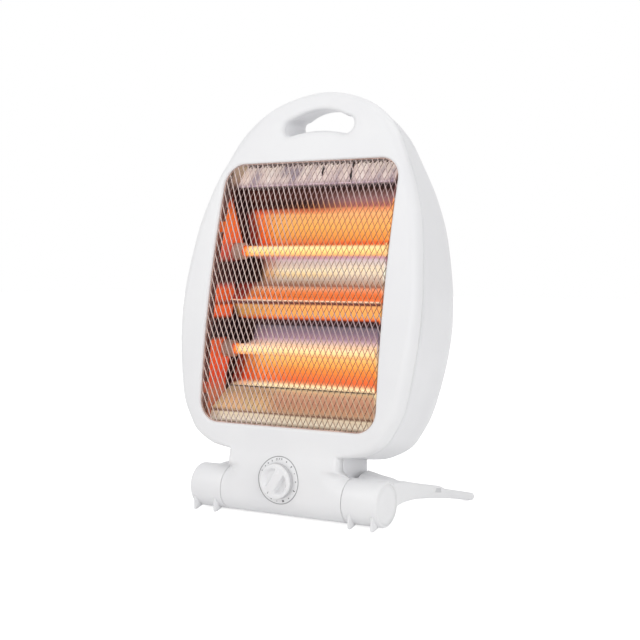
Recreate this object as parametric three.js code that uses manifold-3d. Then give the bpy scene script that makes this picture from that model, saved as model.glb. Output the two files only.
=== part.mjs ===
// A free-standing quartz heater: an egg-shaped two-part plastic casing on a neck, with a wire guard,
// a bent reflector and two quartz tubes, that tilts on a stand of two barrel ends and two rear legs.
// Millimetres, +Z up, +X to the right as seen from the front, the front faces -Y.
// Sizes are written with Y = 0 on the tilt axis; the last lines move the origin under the middle of
// the whole part.
import * as THREE from 'three';
import { mergeVertices } from 'three/addons/utils/BufferGeometryUtils.js';
import Module from 'manifold-3d';

const wasm = await Module();
wasm.setup();

// Clearances shared by the whole part
const fitGap = 0.3;            // between pieces that touch
const runGap = 0.5;            // between pieces that move past each other
const cutOver = 6;             // how far a cutter runs past what it cuts

// Casing
const casingHalfWidth = 125.5; // widest half of the shells
const casingTop = 385.5;       // top of the carrying handle above the floor
const casingWall = 2.6;
const faceFoot = 12.2;         // the guard's plane ahead of the tilt axis at its lowest
const faceTurn = 26;           // height where the guard's plane is upright
const faceLean = 71;           // how far it has curved back at the casing's top
const faceLead = 3;            // front face ahead of the guard's plane
const backReach = 109;         // rear shell behind the tilt axis at its fullest
const backTurnShare = 0.493;   // where the rear shell is fullest, up the casing
const backLean = 30.4;         // how far it has curved forward at the casing's top
const backLeanLow = 44.6;      // as much, but for the part below its fullest place
const edgeRound = 9;           // rounded edge of the front face
const partingShare = 0.12;     // joint of the shells, as a share of the depth from face to back
const creaseShare = 0.49;      // soft crease in the rear shell, as a share of the same depth
const creaseInset = 2.5;       // how far the side wall draws in at the crease
const backRound = 34;          // rounding from the crease to the back panel
const drawLean = 0.15;         // drop of the rear shell for each millimetre back from the joint

// The casing's outline: share of its height above the neck, share of its half width
const outlineShares = [[0, 0.458], [0.0052, 0.6135], [0.015, 0.685], [0.0404, 0.791], [0.081, 0.862],
  [0.1228, 0.915], [0.2, 0.957], [0.32, 0.995], [0.42, 1], [0.554, 0.966], [0.642, 0.928],
  [0.73, 0.857], [0.817, 0.752], [0.88, 0.663], [0.94, 0.506], [0.98, 0.296], [1, 0]];
const outlineSteps = 2;        // levels between two of those points

// Neck and barrel
const neckTop = 59;
const neckBottom = 42;
const neckHalfWidth = 57.5;
const neckBack = 40;
const barrelRadius = 20;
const barrelHeight = 21.2;     // tilt axis above the floor
const barrelHalfLength = 99;   // out to the stand's end faces
const middleHalfLength = 64;   // the casing's own length of barrel
const barrelWall = 2.4;
const roundSteps = 24;         // sides of a full round
const dialHeight = 35.8;       // knob axis above the floor
const dialFace = 20;           // the skirt's front ahead of the tilt axis, behind the dial
const dialRadius = 21.5;
const dialThick = 0.8;
const dialSink = 1;            // flat seat cut into the skirt for the dial

// Heights are shares of the casing's height above the neck, half widths are shares of its half width
const heightAt = (share) => neckTop + share * (casingTop - neckTop);
const widthAt = (share) => share * casingHalfWidth;
const backTurn = heightAt(backTurnShare);

// Window, guard and handle hole
const windowWidthShare = 0.7435;
const windowBottomShare = 0.0704;
const windowTopShare = 0.8012;
const windowHalfWidth = widthAt(windowWidthShare);
const windowBottom = heightAt(windowBottomShare);
const windowTop = heightAt(windowTopShare);
const windowCorner = 20;
const guardLap = 3;            // how far the guard reaches behind the window's edge
const guardThick = 1.1;
const guardStrand = 1.9;       // width of a strand of the net
const guardColumns = 11;       // diamonds across
const guardRows = 9;           // diamonds up
const holeWidthShare = 0.3028;
const holeTopShare = 0.9495;
const holeBottomShare = 0.8882;
const holeHalfWidth = widthAt(holeWidthShare); // finger hole of the handle
const holeTop = heightAt(holeTopShare);
const holeBottom = heightAt(holeBottomShare);
const holeEndDrop = 8;         // how far the top edge falls towards the ends
const holeSag = 4;             // how far the bottom edge falls towards the ends
const holeWall = 2.4;

// Reflector and heating tubes
const sheetThick = 0.8;
const reflectorInset = 5.3;
const reflectorHalfWidth = windowHalfWidth - reflectorInset; // inside the end plates
const upperTubeShare = 0.5513;
const lowerTubeShare = 0.2711;
const upperTubeHeight = heightAt(upperTubeShare);
const lowerTubeHeight = heightAt(lowerTubeShare);
const tubeDepth = 27;          // tube centres behind the guard's plane
const tubeRadius = 5;
const tubeBore = 3.9;
const tubeInset = 4;
const tubeHalfLength = reflectorHalfWidth - tubeInset;
const coilRadius = tubeBore - fitGap;
const coilEnd = 4;             // the coil stops short of the tube's end
const capRadius = 8;           // ceramic end caps
const capLength = 13;
const capSeat = 7;             // how deep a tube sits in its cap
const terminalRadius = 1.6;
const terminalLength = 9;
const troughDepth = 48;        // reflector's troughs behind the guard's plane
const ridgeDepth = 27;         // ridge between the troughs
const hoodTopDepth = 24;       // upper edge of the top plate
const lipDepth = 9;            // front edge of the bottom plate
const lipRise = 11;            // height of the bottom plate's upright lip
const shieldGap = 8;           // heat shield behind the reflector

// Plain finishes, from the photograph
const paint = {
  shell: [0xe9e9ea, 0.42, 0],
  shellRear: [0xdededf, 0.45, 0],
  steel: [0xb9b9bb, 0.35, 1],
  bright: [0xd8d6d2, 0.18, 1],
  copper: [0xb07a52, 0.4, 1],
  quartz: [0xffb347, 0.2, 0],
  glow: [0xff7a1a, 0.5, 0],
  ceramic: [0xe6ded0, 0.7, 0],
  dark: [0x2b2b2d, 0.6, 0],
  brass: [0xc9a85a, 0.35, 1],
  wire: [0x8f8f92, 0.55, 0],
};
const heater = new THREE.Group();
function add(name, geometry, finish) {
  const [color, roughness, metalness] = paint[finish];
  const mesh = new THREE.Mesh(geometry, new THREE.MeshStandardMaterial({ color, roughness, metalness }));
  mesh.name = name;
  heater.add(mesh);
  return mesh;
}

// A closed geometry as a solid that can be joined and cut, and back again
function toSolid(geometry) {
  const bare = geometry.clone();
  bare.deleteAttribute('normal');
  bare.deleteAttribute('uv');
  const merged = mergeVertices(bare);
  return new wasm.Manifold(new wasm.Mesh({
    numProp: 3,
    vertProperties: new Float32Array(merged.attributes.position.array),
    triVerts: new Uint32Array(merged.index.array),
  }));
}
function toGeometry(body) {
  const mesh = body.getMesh();
  const geometry = new THREE.BufferGeometry();
  const places = new Float32Array(mesh.vertProperties);
  geometry.setAttribute('position', new THREE.BufferAttribute(places, mesh.numProp));
  geometry.setIndex(new THREE.BufferAttribute(new Uint32Array(mesh.triVerts), 1));
  geometry.computeVertexNormals();
  return geometry;
}
function joined(...geometries) {
  return geometries.map(toSolid).reduce((whole, piece) => whole.add(piece));
}

// Boxes, prisms and rods placed by where they begin and end
function box([x0, x1], [y0, y1], [z0, z1]) {
  const geometry = new THREE.BoxGeometry(x1 - x0, y1 - y0, z1 - z0);
  return geometry.translate((x0 + x1) / 2, (y0 + y1) / 2, (z0 + z1) / 2);
}
function extruded(points, depth) {
  const shape = new THREE.Shape(points.map(([a, b]) => new THREE.Vector2(a, b)));
  return new THREE.ExtrudeGeometry(shape, { depth, bevelEnabled: false });
}
// points are [y, z]
function prismX(points, x0, x1) {
  const turn = new THREE.Matrix4().makeBasis(
    new THREE.Vector3(0, 1, 0), new THREE.Vector3(0, 0, 1), new THREE.Vector3(1, 0, 0));
  return extruded(points, x1 - x0).applyMatrix4(turn).translate(x0, 0, 0);
}
// points are [x, z]
function prismY(points, y0, y1) {
  return extruded(points, y1 - y0).rotateX(Math.PI / 2).translate(0, y1, 0);
}
// points are [x, y]
function prismZ(points, z0, z1) {
  return extruded(points, z1 - z0).translate(0, 0, z0);
}
function rodX(radius, x0, x1, y, z, sides = roundSteps) {
  const geometry = new THREE.CylinderGeometry(radius, radius, x1 - x0, sides);
  return geometry.rotateZ(Math.PI / 2).translate((x0 + x1) / 2, y, z);
}
function rodY(radius, y0, y1, x, z, sides = roundSteps) {
  return new THREE.CylinderGeometry(radius, radius, y1 - y0, sides).translate(x, (y0 + y1) / 2, z);
}
function rodZ(radius, z0, z1, x, y, sides = roundSteps) {
  const geometry = new THREE.CylinderGeometry(radius, radius, z1 - z0, sides);
  return geometry.rotateX(Math.PI / 2).translate(x, y, (z0 + z1) / 2);
}
// A pipe along X, from a profile turned round its axis
function pipeX(outer, inner, x0, x1, y, z, sides = roundSteps) {
  const profile = [[inner, x0], [outer, x0], [outer, x1], [inner, x1], [inner, x0]];
  const turned = new THREE.LatheGeometry(profile.map(([r, a]) => new THREE.Vector2(r, a)), sides);
  return turned.rotateZ(-Math.PI / 2).translate(0, y, z);
}
// A round wire through hand-chosen places
function wireAlong(places, radius, sides, steps) {
  const path = new THREE.CatmullRomCurve3(places.map((p) => new THREE.Vector3(...p)), false, 'centripetal');
  const ring = [];
  for (let i = 0; i < sides; i += 1) {
    const turn = i / sides * Math.PI * 2;
    ring.push(new THREE.Vector2(Math.cos(turn) * radius, Math.sin(turn) * radius));
  }
  return new THREE.ExtrudeGeometry(new THREE.Shape(ring), { steps, extrudePath: path, bevelEnabled: false });
}
function bothSides(make) {
  make('left', -1);
  make('right', 1);
}
function span(a, b) {
  return [Math.min(a, b), Math.max(a, b)];
}

// Side view of the casing: where its surfaces lie at a height
function guardY(z) {
  return -faceFoot + faceLean * ((z - faceTurn) / (casingTop - faceTurn)) ** 2;
}
function frontY(z) {
  return guardY(z) - faceLead;
}
function backY(z) {
  const share = (z - backTurn) / (casingTop - backTurn);
  return backReach - (share < 0 ? backLeanLow : backLean) * share ** 2;
}
function partingY(z) {
  return frontY(z) + (backY(z) - frontY(z)) * partingShare;
}
function creaseY(z) {
  return frontY(z) + (backY(z) - frontY(z)) * creaseShare;
}

// Front view of the casing: its right-hand outline from the neck to the top, drawn in by an inset
const outlineCurve = new THREE.CatmullRomCurve3(outlineShares.map(([up, out]) => new THREE.Vector3(
  out * casingHalfWidth, 0, neckTop + up * (casingTop - neckTop))), false, 'centripetal');
function outline(inset) {
  const steps = (outlineShares.length - 1) * outlineSteps;
  const points = [];
  for (let i = 0; i <= steps; i += 1) {
    const place = outlineCurve.getPoint(i / steps);
    const along = outlineCurve.getTangent(i / steps);
    if (i === steps) along.set(-1, 0, 0);
    points.push([i === steps ? 0 : place.x - along.z * inset, place.z + along.x * inset]);
  }
  return points;
}
function ring(inset, depthOf, lean = 0) {
  const right = outline(inset).map(([x, z]) => [x, z - lean * (depthOf(z) - partingY(z))]);
  const left = right.slice(0, -1).reverse().map(([x, z]) => [-x, z]);
  return [...right, ...left].map(([x, z]) => [x, depthOf(z), z]);
}

// A closed skin over rings of the outline, from the front to the back
function skin(rings) {
  const count = rings[0].length;
  const top = (count - 1) / 2;
  const index = [];
  const quad = (a, b, c, d) => index.push(a, b, c, a, c, d);
  for (let r = 0; r + 1 < rings.length; r += 1) {
    for (let i = 0; i < count; i += 1) {
      const next = (i + 1) % count;
      quad(r * count + i, (r + 1) * count + i, (r + 1) * count + next, r * count + next);
    }
  }
  const back = (rings.length - 1) * count;
  for (let i = 0; i < top; i += 1) {
    const mates = [i, i + 1, count - 2 - i, count - 1 - i];
    if (i === top - 1) {
      index.push(mates[0], mates[1], mates[3], back + mates[0], back + mates[3], back + mates[1]);
    } else {
      quad(...mates);
      quad(...mates.reverse().map((place) => back + place));
    }
  }
  const geometry = new THREE.BufferGeometry();
  geometry.setAttribute('position', new THREE.Float32BufferAttribute(rings.flat(2), 3));
  geometry.setIndex(index);
  return geometry;
}

// Shells of the casing: outer and inner skins, front and rear
const roundShares = [0, 0.25, 0.5, 0.75]; // steps through a quarter of a turn
function frontSkin(wall) {
  const round = edgeRound - wall;
  const rings = roundShares.map((share) => {
    const turn = share * Math.PI / 2;
    return ring(wall + round * (1 - Math.sin(turn)), (z) => {
      const face = frontY(z) + wall;
      return face + (partingY(z) - face) * (1 - Math.cos(turn));
    });
  });
  return skin([...rings, ring(wall, (z) => partingY(z) + (wall > 0 ? cutOver : 0))]);
}
const backFullness = 2 / 2.6;  // squareness of the rounding at the back
function rearSkin(wall) {
  const rings = [ring(wall, (z) => partingY(z) + (wall > 0 ? -cutOver : fitGap))];
  for (const share of [...roundShares, 1]) {
    const turn = share * Math.PI / 2;
    const inward = backRound * (1 - Math.cos(turn) ** backFullness);
    rings.push(ring(wall + creaseInset + inward, (z) => (
      creaseY(z) + (backY(z) - wall - creaseY(z)) * Math.sin(turn) ** backFullness), drawLean));
  }
  return skin(rings);
}

// Neck and barrel under the shells
const joint = partingY(neckTop);      // the shells' joint under the neck
const neckReach = neckTop + edgeRound + barrelWall * 3; // how far the neck runs up inside the shells
function skirt(wall) {
  const curve = new THREE.QuadraticBezierCurve(
    new THREE.Vector2(frontY(neckTop + wall) + wall, neckTop + wall),
    new THREE.Vector2(-dialFace + wall, neckBottom),
    new THREE.Vector2(-dialFace + wall, barrelHeight));
  return curve.getPoints(6).map((point) => [point.x, point.y]);
}
function frontNeck(wall) {
  const reach = joint + (wall > 0 ? cutOver : 0);
  const inset = Math.max(wall, fitGap / 2);
  const profile = [[reach, barrelHeight], [reach, neckReach], [frontY(neckReach) + inset, neckReach],
    ...skirt(wall)];
  return prismX(profile.reverse(), wall - neckHalfWidth, neckHalfWidth - wall);
}
function rearNeck(wall) {
  const reach = joint + (wall > 0 ? -cutOver : fitGap);
  const foot = barrelRadius / 2;
  const profile = [[reach, barrelHeight], [foot, barrelHeight], [foot, neckBottom - barrelWall + wall],
    [barrelRadius, neckBottom + wall], [neckBack - wall, neckBottom + wall], [neckBack - wall, neckReach],
    [reach, neckReach]];
  return prismX(profile, wall - neckHalfWidth, neckHalfWidth - wall);
}
function barrel(wall, side) {
  const half = middleHalfLength - fitGap / 2 - wall;
  const rod = toSolid(rodX(barrelRadius - wall, -half, half, 0, barrelHeight));
  const far = barrelRadius + cutOver;
  const gap = side > 0 ? fitGap : 0;
  const near = joint + (wall > 0 ? -cutOver * side : gap);
  const keep = box([-half - cutOver, half + cutOver], span(near, far * side),
    [barrelHeight - far, barrelHeight + far]);
  return rod.intersect(toSolid(keep));
}

// Cutters through both shells
function arched(half, bottom, top, drop, sag, steps) {
  const end = (top - drop - bottom + sag) / 2;
  const middle = bottom - sag + end;
  const points = [];
  for (let i = 0; i <= steps; i += 1) {
    const share = i / steps * 2 - 1;
    points.push([share * (half - end), bottom - sag * share ** 2]);
  }
  for (let i = 1; i < steps; i += 1) {
    const turn = (i / steps - 0.5) * Math.PI;
    points.push([half - end + Math.cos(turn) * end, middle + Math.sin(turn) * end]);
  }
  for (let i = 0; i <= steps; i += 1) {
    const share = 1 - i / steps * 2;
    points.push([share * (half - end), top - drop * share ** 2]);
  }
  for (let i = 1; i < steps; i += 1) {
    const turn = (i / steps + 0.5) * Math.PI;
    points.push([end - half + Math.cos(turn) * end, middle + Math.sin(turn) * end]);
  }
  return points;
}
function holePrism(grow) {
  const points = arched(holeHalfWidth + grow, holeBottom - grow, holeTop + grow, holeEndDrop, holeSag, 6);
  return toSolid(prismY(points, -faceFoot - casingWall, backReach));
}
function rounded(half, bottom, top, corner, steps) {
  const points = [];
  const centres = [[half - corner, bottom + corner], [half - corner, top - corner],
    [corner - half, top - corner], [corner - half, bottom + corner]];
  centres.forEach(([x, z], quarter) => {
    for (let i = 0; i <= steps; i += 1) {
      const turn = (quarter - 1 + i / steps) * Math.PI / 2;
      points.push([x + Math.cos(turn) * corner, z + Math.sin(turn) * corner]);
    }
  });
  return points;
}
const windowCutter = toSolid(prismY(rounded(windowHalfWidth, windowBottom, windowTop, windowCorner, 4),
  -faceFoot - cutOver * 2, guardY(windowTop)));

// Posts in the front cover, and the tabs of the end plates screwed to them
const plateThick = 1;
const tabShares = [0.1623, 0.6217];
const tabHeights = tabShares.map(heightAt);
const tabHalf = 5;
const tabDepth = 7;            // tabs behind the guard's plane
const postRadius = 3.4;
const screwRadius = 3;
const screwHead = 1.8;
const plateInner = reflectorHalfWidth;
const plateOuter = plateInner + plateThick;
const postPlace = windowHalfWidth + guardLap + fitGap + postRadius;
const tabReach = postPlace + tabHalf - plateOuter; // tabs beyond the end plates

// Front cover: face, skirt and front half of the barrel in one moulding
const axleRadius = 6;
const shaftRadius = 3;
const axleHole = toSolid(rodX(axleRadius + runGap, -barrelHalfLength, barrelHalfLength, 0, barrelHeight));
const dialY = -dialFace + dialSink;   // bottom of the dial's seat
const dialSeat = toSolid(rodY(dialRadius + fitGap, -dialFace - cutOver, dialY, 0, dialHeight));
const shaftHole = toSolid(rodY(shaftRadius + fitGap * 2, -dialFace - cutOver, 0, 0, dialHeight, 16));
const frontOuter = toSolid(frontSkin(0)).add(toSolid(frontNeck(0))).add(barrel(0, -1));
const frontInner = toSolid(frontSkin(casingWall)).add(toSolid(frontNeck(casingWall)))
  .add(barrel(barrelWall, -1));
const posts = [-1, 1].flatMap((side) => tabHeights.map((z) => toSolid(rodY(postRadius,
  frontY(z) + casingWall / 2, guardY(z) + tabDepth - fitGap, postPlace * side, z, 12))));
const frontCover = posts.reduce((whole, post) => whole.add(post), frontOuter.subtract(frontInner))
  .add(holePrism(holeWall).intersect(frontOuter))
  .subtract(holePrism(0)).subtract(windowCutter).subtract(dialSeat).subtract(shaftHole)
  .subtract(axleHole);
add('front_cover', toGeometry(frontCover), 'shell');

// Rear cover: side wall, full back, rear half of the neck and barrel, with vents and a cord inlet
const ventHalfWidth = 42;
const ventHeight = 4;
const ventPitch = 11;
const ventCount = 6;
const ventShare = 0.5299;
const ventFoot = heightAt(ventShare);
const inletRadius = 4;
const inletHeight = 50;
const inletPlace = 14;         // cord inlet to the side of the middle
const sinkDepth = 1.5;         // screws sit this deep in the back panel
const screwShares = [[-0.4143, 0.248], [0.4143, 0.248], [-0.3828, 0.775], [0.3828, 0.775]];
const screwPlaces = screwShares.map(([out, up]) => [widthAt(out), heightAt(up)]);
const rearOuter = toSolid(rearSkin(0)).add(toSolid(rearNeck(0))).add(barrel(0, 1));
const rearInner = toSolid(rearSkin(casingWall)).add(toSolid(rearNeck(casingWall)))
  .add(barrel(barrelWall, 1));
let rearCover = rearOuter.subtract(rearInner)
  .add(holePrism(holeWall).intersect(rearOuter))
  .subtract(holePrism(0)).subtract(axleHole);
for (let i = 0; i < ventCount; i += 1) {
  const foot = ventFoot + i * ventPitch;
  rearCover = rearCover.subtract(toSolid(box([-ventHalfWidth, ventHalfWidth],
    [backReach / 2, backReach + cutOver], [foot, foot + ventHeight])));
}
rearCover = rearCover.subtract(toSolid(rodY(inletRadius, neckBack - cutOver, neckBack + cutOver,
  inletPlace, inletHeight, 16)));
for (const [x, z] of screwPlaces) {
  rearCover = rearCover.subtract(toSolid(rodY(screwRadius + fitGap * 2, backY(z) - sinkDepth,
    backReach + cutOver, x, z, 12)));
}
add('rear_cover', toGeometry(rearCover), 'shellRear');

// Guard: an expanded net in a rim, both bent to the face's side-view curve
function slab(points, faces, frontOf, backOf) {
  const uses = new Set();
  faces.forEach((face) => face.forEach((a, i) => uses.add(`${a} ${face[(i + 1) % face.length]}`)));
  const count = points.length;
  const index = [];
  faces.forEach((face) => {
    for (let i = 1; i + 1 < face.length; i += 1) {
      index.push(face[0], face[i], face[i + 1], count + face[0], count + face[i + 1], count + face[i]);
    }
    face.forEach((a, i) => {
      const b = face[(i + 1) % face.length];
      if (!uses.has(`${b} ${a}`)) index.push(a, count + a, b, b, count + a, count + b);
    });
  });
  const places = [...points.map(([x, z]) => [x, frontOf(z), z]),
    ...points.map(([x, z]) => [x, backOf(z), z])];
  const geometry = new THREE.BufferGeometry();
  geometry.setAttribute('position', new THREE.Float32BufferAttribute(places.flat(), 3));
  geometry.setIndex(index);
  return geometry;
}
const guardHalfWidth = windowHalfWidth + guardLap;
const guardBottom = windowBottom - guardLap;
const guardTop = windowTop + guardLap;
const guardFront = (z) => frontY(z) + casingWall + fitGap;
const guardBack = (z) => guardFront(z) + guardThick;
const netInset = guardThick / 7;      // the net is a little thinner than its rim
function net() {
  const stepX = guardHalfWidth / guardColumns;
  const stepZ = (guardTop - guardBottom) / 2 / guardRows;
  const slim = 1 - guardStrand / 2 * Math.hypot(stepX, stepZ) / (stepX * stepZ);
  const middle = (guardTop + guardBottom) / 2;
  const points = [];
  const holes = new Map();
  for (let i = -guardColumns - 1; i <= guardColumns + 1; i += 1) {
    for (let j = -guardRows - 1; j <= guardRows + 1; j += 1) {
      if ((i + j) % 2 === 0) {
        const [x, z] = [i * stepX, middle + j * stepZ];
        holes.set(`${i} ${j}`, points.length);
        points.push([x + stepX * slim, z], [x, z + stepZ * slim],
          [x - stepX * slim, z], [x, z - stepZ * slim]);
      }
    }
  }
  const faces = [];
  for (let i = -guardColumns - 1; i <= guardColumns + 1; i += 1) {
    for (let j = -guardRows - 1; j <= guardRows + 1; j += 1) {
      const at = holes.get(`${i} ${j}`);
      const upRight = holes.get(`${i + 1} ${j + 1}`);
      const upLeft = holes.get(`${i - 1} ${j + 1}`);
      const above = holes.get(`${i} ${j + 2}`);
      if (at !== undefined && upRight !== undefined) faces.push([at, upRight + 3, upRight + 2, at + 1]);
      if (at !== undefined && upLeft !== undefined) faces.push([at + 1, upLeft, upLeft + 3, at + 2]);
      if (at !== undefined && upRight !== undefined && upLeft !== undefined && above !== undefined) {
        faces.push([upRight + 2, above + 3, upLeft, at + 1]);
      }
    }
  }
  return slab(points, faces, (z) => guardFront(z) + netInset, (z) => guardBack(z) - netInset);
}
// A rounded loop whose straight sides have steps, so that it can bend
function loop(half, bottom, top, corner, sideSteps) {
  const points = rounded(half, bottom, top, corner, 3);
  const right = [];
  const left = [];
  for (let i = 1; i < sideSteps; i += 1) {
    const up = bottom + corner + (top - bottom - 2 * corner) * i / sideSteps;
    right.push([half, up]);
    left.unshift([-half, up]);
  }
  return [...points.slice(0, 4), ...right, ...points.slice(4, 12), ...left, ...points.slice(12)];
}
const rimSteps = 8;
const rimWidth = guardLap + guardStrand / 2;
function rim() {
  const outside = loop(guardHalfWidth, guardBottom, guardTop, windowCorner + guardLap, rimSteps);
  const inside = loop(guardHalfWidth - rimWidth, guardBottom + rimWidth, guardTop - rimWidth,
    windowCorner + guardLap - rimWidth, rimSteps);
  const count = outside.length;
  const faces = outside.map((_, i) => [i, (i + 1) % count, count + (i + 1) % count, count + i]);
  return slab([...outside, ...inside], faces, guardFront, guardBack);
}
const netTrim = rimWidth / 2;         // the net ends half way into its rim
const netEdge = rounded(guardHalfWidth - netTrim, guardBottom + netTrim, guardTop - netTrim,
  windowCorner + guardLap - netTrim, 4);
const netOutline = toSolid(prismY(netEdge, -faceFoot - cutOver, guardY(guardTop) + cutOver));
const faceLimit = toSolid(prismY(ring(edgeRound + fitGap, guardY).map(([x, , z]) => [x, z]),
  -faceFoot - cutOver, backReach));
const guard = toSolid(net()).intersect(netOutline).add(toSolid(rim())).intersect(faceLimit);
add('guard_mesh', toGeometry(guard), 'steel');

// Bent sheets: a polyline of [depth behind the guard's plane, height] given a thickness
function sheet(line, thick, half) {
  const places = line.map(([depth, z]) => new THREE.Vector2(guardY(z) + depth, z));
  const shifted = places.map((place, i) => {
    const before = places[Math.max(i - 1, 0)];
    const after = places[Math.min(i + 1, places.length - 1)];
    const along = after.clone().sub(before).normalize();
    return new THREE.Vector2(place.x + along.y * thick, place.y - along.x * thick);
  });
  const profile = [...places, ...shifted.reverse()].map((place) => [place.x, place.y]);
  return prismX(profile, -half, half);
}
// A trough is a parabola round its tube; shares are of the half height from the tube to the ridge
const upperShares = [-0.97, -0.75, -0.5, -0.2, 0.15, 0.5, 0.8, 1.05, 1.29];
const lowerShares = [-0.76, -0.5, -0.2, 0.15, 0.5, 0.75, 0.97];
const midRidge = (upperTubeHeight + lowerTubeHeight) / 2;
const troughHalf = upperTubeHeight - midRidge;
function troughAt(height, share) {
  return [troughDepth - (troughDepth - ridgeDepth) * share ** 2, height + share * troughHalf];
}
const plateEdge = reflectorHalfWidth - fitGap;
const upperTrough = upperShares.map((share) => troughAt(upperTubeHeight, share));
const lowerTrough = lowerShares.map((share) => troughAt(lowerTubeHeight, share));
add('reflector', sheet([...lowerTrough, ...upperTrough], sheetThick, plateEdge), 'bright');
const [hoodDepth, hoodEnd] = upperTrough[upperTrough.length - 1];
const [floorDepth, floorEnd] = lowerTrough[0];
const hoodFoot = hoodEnd + fitGap + sheetThick;
const floorTop = floorEnd - fitGap - sheetThick;
const hoodLine = [[hoodDepth, hoodFoot], [hoodTopDepth, windowTop]];
const floorLine = [[lipDepth - sheetThick, windowBottom], [lipDepth, windowBottom + lipRise],
  [floorDepth, floorTop]];
add('top_plate', sheet(hoodLine, sheetThick, plateEdge), 'bright');
add('bottom_plate', sheet(floorLine, sheetThick, plateEdge), 'copper');

// End plates that carry the tubes, with tabs screwed to posts in the front cover
const plateFront = guardThick + fitGap * 9;
const plateBack = troughDepth + sheetThick + shieldGap;
const tubeHeights = { upper: upperTubeHeight, lower: lowerTubeHeight };
const tubeY = (height) => guardY(height) + tubeDepth;
const edgeHeights = [windowTop, upperTubeHeight, midRidge, lowerTubeHeight, windowBottom];
const plateRim = sheetThick * 3;      // end plates beyond the sheets
const plateLine = [
  ...edgeHeights.map((z) => [plateFront, z]),
  [floorDepth + plateRim, floorTop - plateRim],
  [plateBack, lowerTubeHeight - troughHalf / 2], [plateBack, midRidge],
  [plateBack, upperTubeHeight + troughHalf / 2],
  [hoodTopDepth + plateRim, windowTop]];
bothSides((name, side) => {
  const profile = plateLine.map(([depth, z]) => [guardY(z) + depth, z]);
  let plate = toSolid(prismX(profile, ...span(plateInner * side, plateOuter * side)));
  for (const z of tabHeights) {
    const front = guardY(z) + tabDepth;
    plate = plate.add(toSolid(box(span(plateInner * side, (plateOuter + tabReach) * side),
      [front, front + plateThick], [z - tabHalf, z + tabHalf])));
  }
  for (const z of Object.values(tubeHeights)) {
    plate = plate.subtract(toSolid(rodX(capRadius + fitGap, ...span((plateInner - cutOver) * side,
      (plateOuter + cutOver) * side), tubeY(z), z)));
  }
  add(`reflector_end_${name}`, toGeometry(plate), 'bright');
});
bothSides((name, side) => tabHeights.forEach((z, i) => {
  const front = guardY(z) + tabDepth + plateThick + fitGap;
  const head = rodY(screwRadius, front, front + screwHead, postPlace * side, z, 10);
  add(`end_plate_screw_${name}_${i + 1}`, head, 'steel');
}));
const shieldFront = plateBack - sheetThick * 3;
const shieldShares = [-1.5, -0.75, 0, 0.75, 1.5]; // of a trough's half height, from the ridge
add('heat_shield', sheet(shieldShares.map((share) => [shieldFront, midRidge + share * troughHalf]),
  sheetThick, plateEdge), 'steel');

// Quartz tubes: a coil in a tube, in a ceramic cap at each end, with a terminal outside it
const tubeSides = 12;
for (const [level, z] of Object.entries(tubeHeights)) {
  const y = tubeY(z);
  add(`${level}_quartz_tube`, pipeX(tubeRadius, tubeBore, -tubeHalfLength, tubeHalfLength, y, z, tubeSides),
    'quartz');
  const coilHalf = tubeHalfLength - coilEnd;
  add(`${level}_heating_coil`, rodX(coilRadius, -coilHalf, coilHalf, y, z, tubeSides), 'glow');
  bothSides((name, side) => {
    const seat = tubeHalfLength + fitGap;
    const start = tubeHalfLength - capSeat;
    const cup = [[0, seat], [tubeRadius + fitGap, seat], [tubeRadius + fitGap, start], [capRadius, start],
      [capRadius, start + capLength], [0, start + capLength]];
    const turned = new THREE.LatheGeometry(cup.map(([r, a]) => new THREE.Vector2(r, a)), tubeSides);
    turned.rotateZ(-side * Math.PI / 2).translate(0, y, z);
    add(`${level}_cap_${name}`, turned, 'ceramic');
    const tip = start + capLength + fitGap;
    add(`${level}_terminal_${name}`, rodX(terminalRadius, ...span(tip * side, (tip + terminalLength) * side),
      y, z, 10), 'brass');
  });
}

// Switch, shaft, dial and knob
const switchHalf = 13;
const switchDepth = 17;
const switchFront = -dialFace + casingWall + fitGap * 5;
const bushRadius = 5;
const bushLength = 3;
const shaftLength = 17;
const housing = toSolid(box([-switchHalf, switchHalf], [switchFront + bushLength, switchFront + switchDepth],
  [dialHeight - switchHalf, dialHeight + switchHalf]))
  .add(toSolid(rodY(bushRadius, switchFront, switchFront + bushLength + fitGap, 0, dialHeight, 16)));
const dialFront = dialY - fitGap - dialThick;
const knobBack = dialFront - runGap;
const knobRadius = 15.75;
const knobHeight = 6.6;
const knobFront = knobBack - knobHeight;
const shaftFront = knobFront + casingWall;
const shaftBack = shaftFront + shaftLength;
const shaftBore = toSolid(rodY(shaftRadius + fitGap, knobFront + casingWall - fitGap, shaftBack + fitGap,
  0, dialHeight, 16));
add('rotary_switch', toGeometry(housing.subtract(shaftBore)), 'dark');
add('switch_shaft', rodY(shaftRadius, shaftFront, shaftBack, 0, dialHeight, 16), 'brass');
add('dial_plate', toGeometry(toSolid(rodY(dialRadius, dialFront, dialY - fitGap, 0, dialHeight, 32))
  .subtract(shaftHole)), 'shell');
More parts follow.
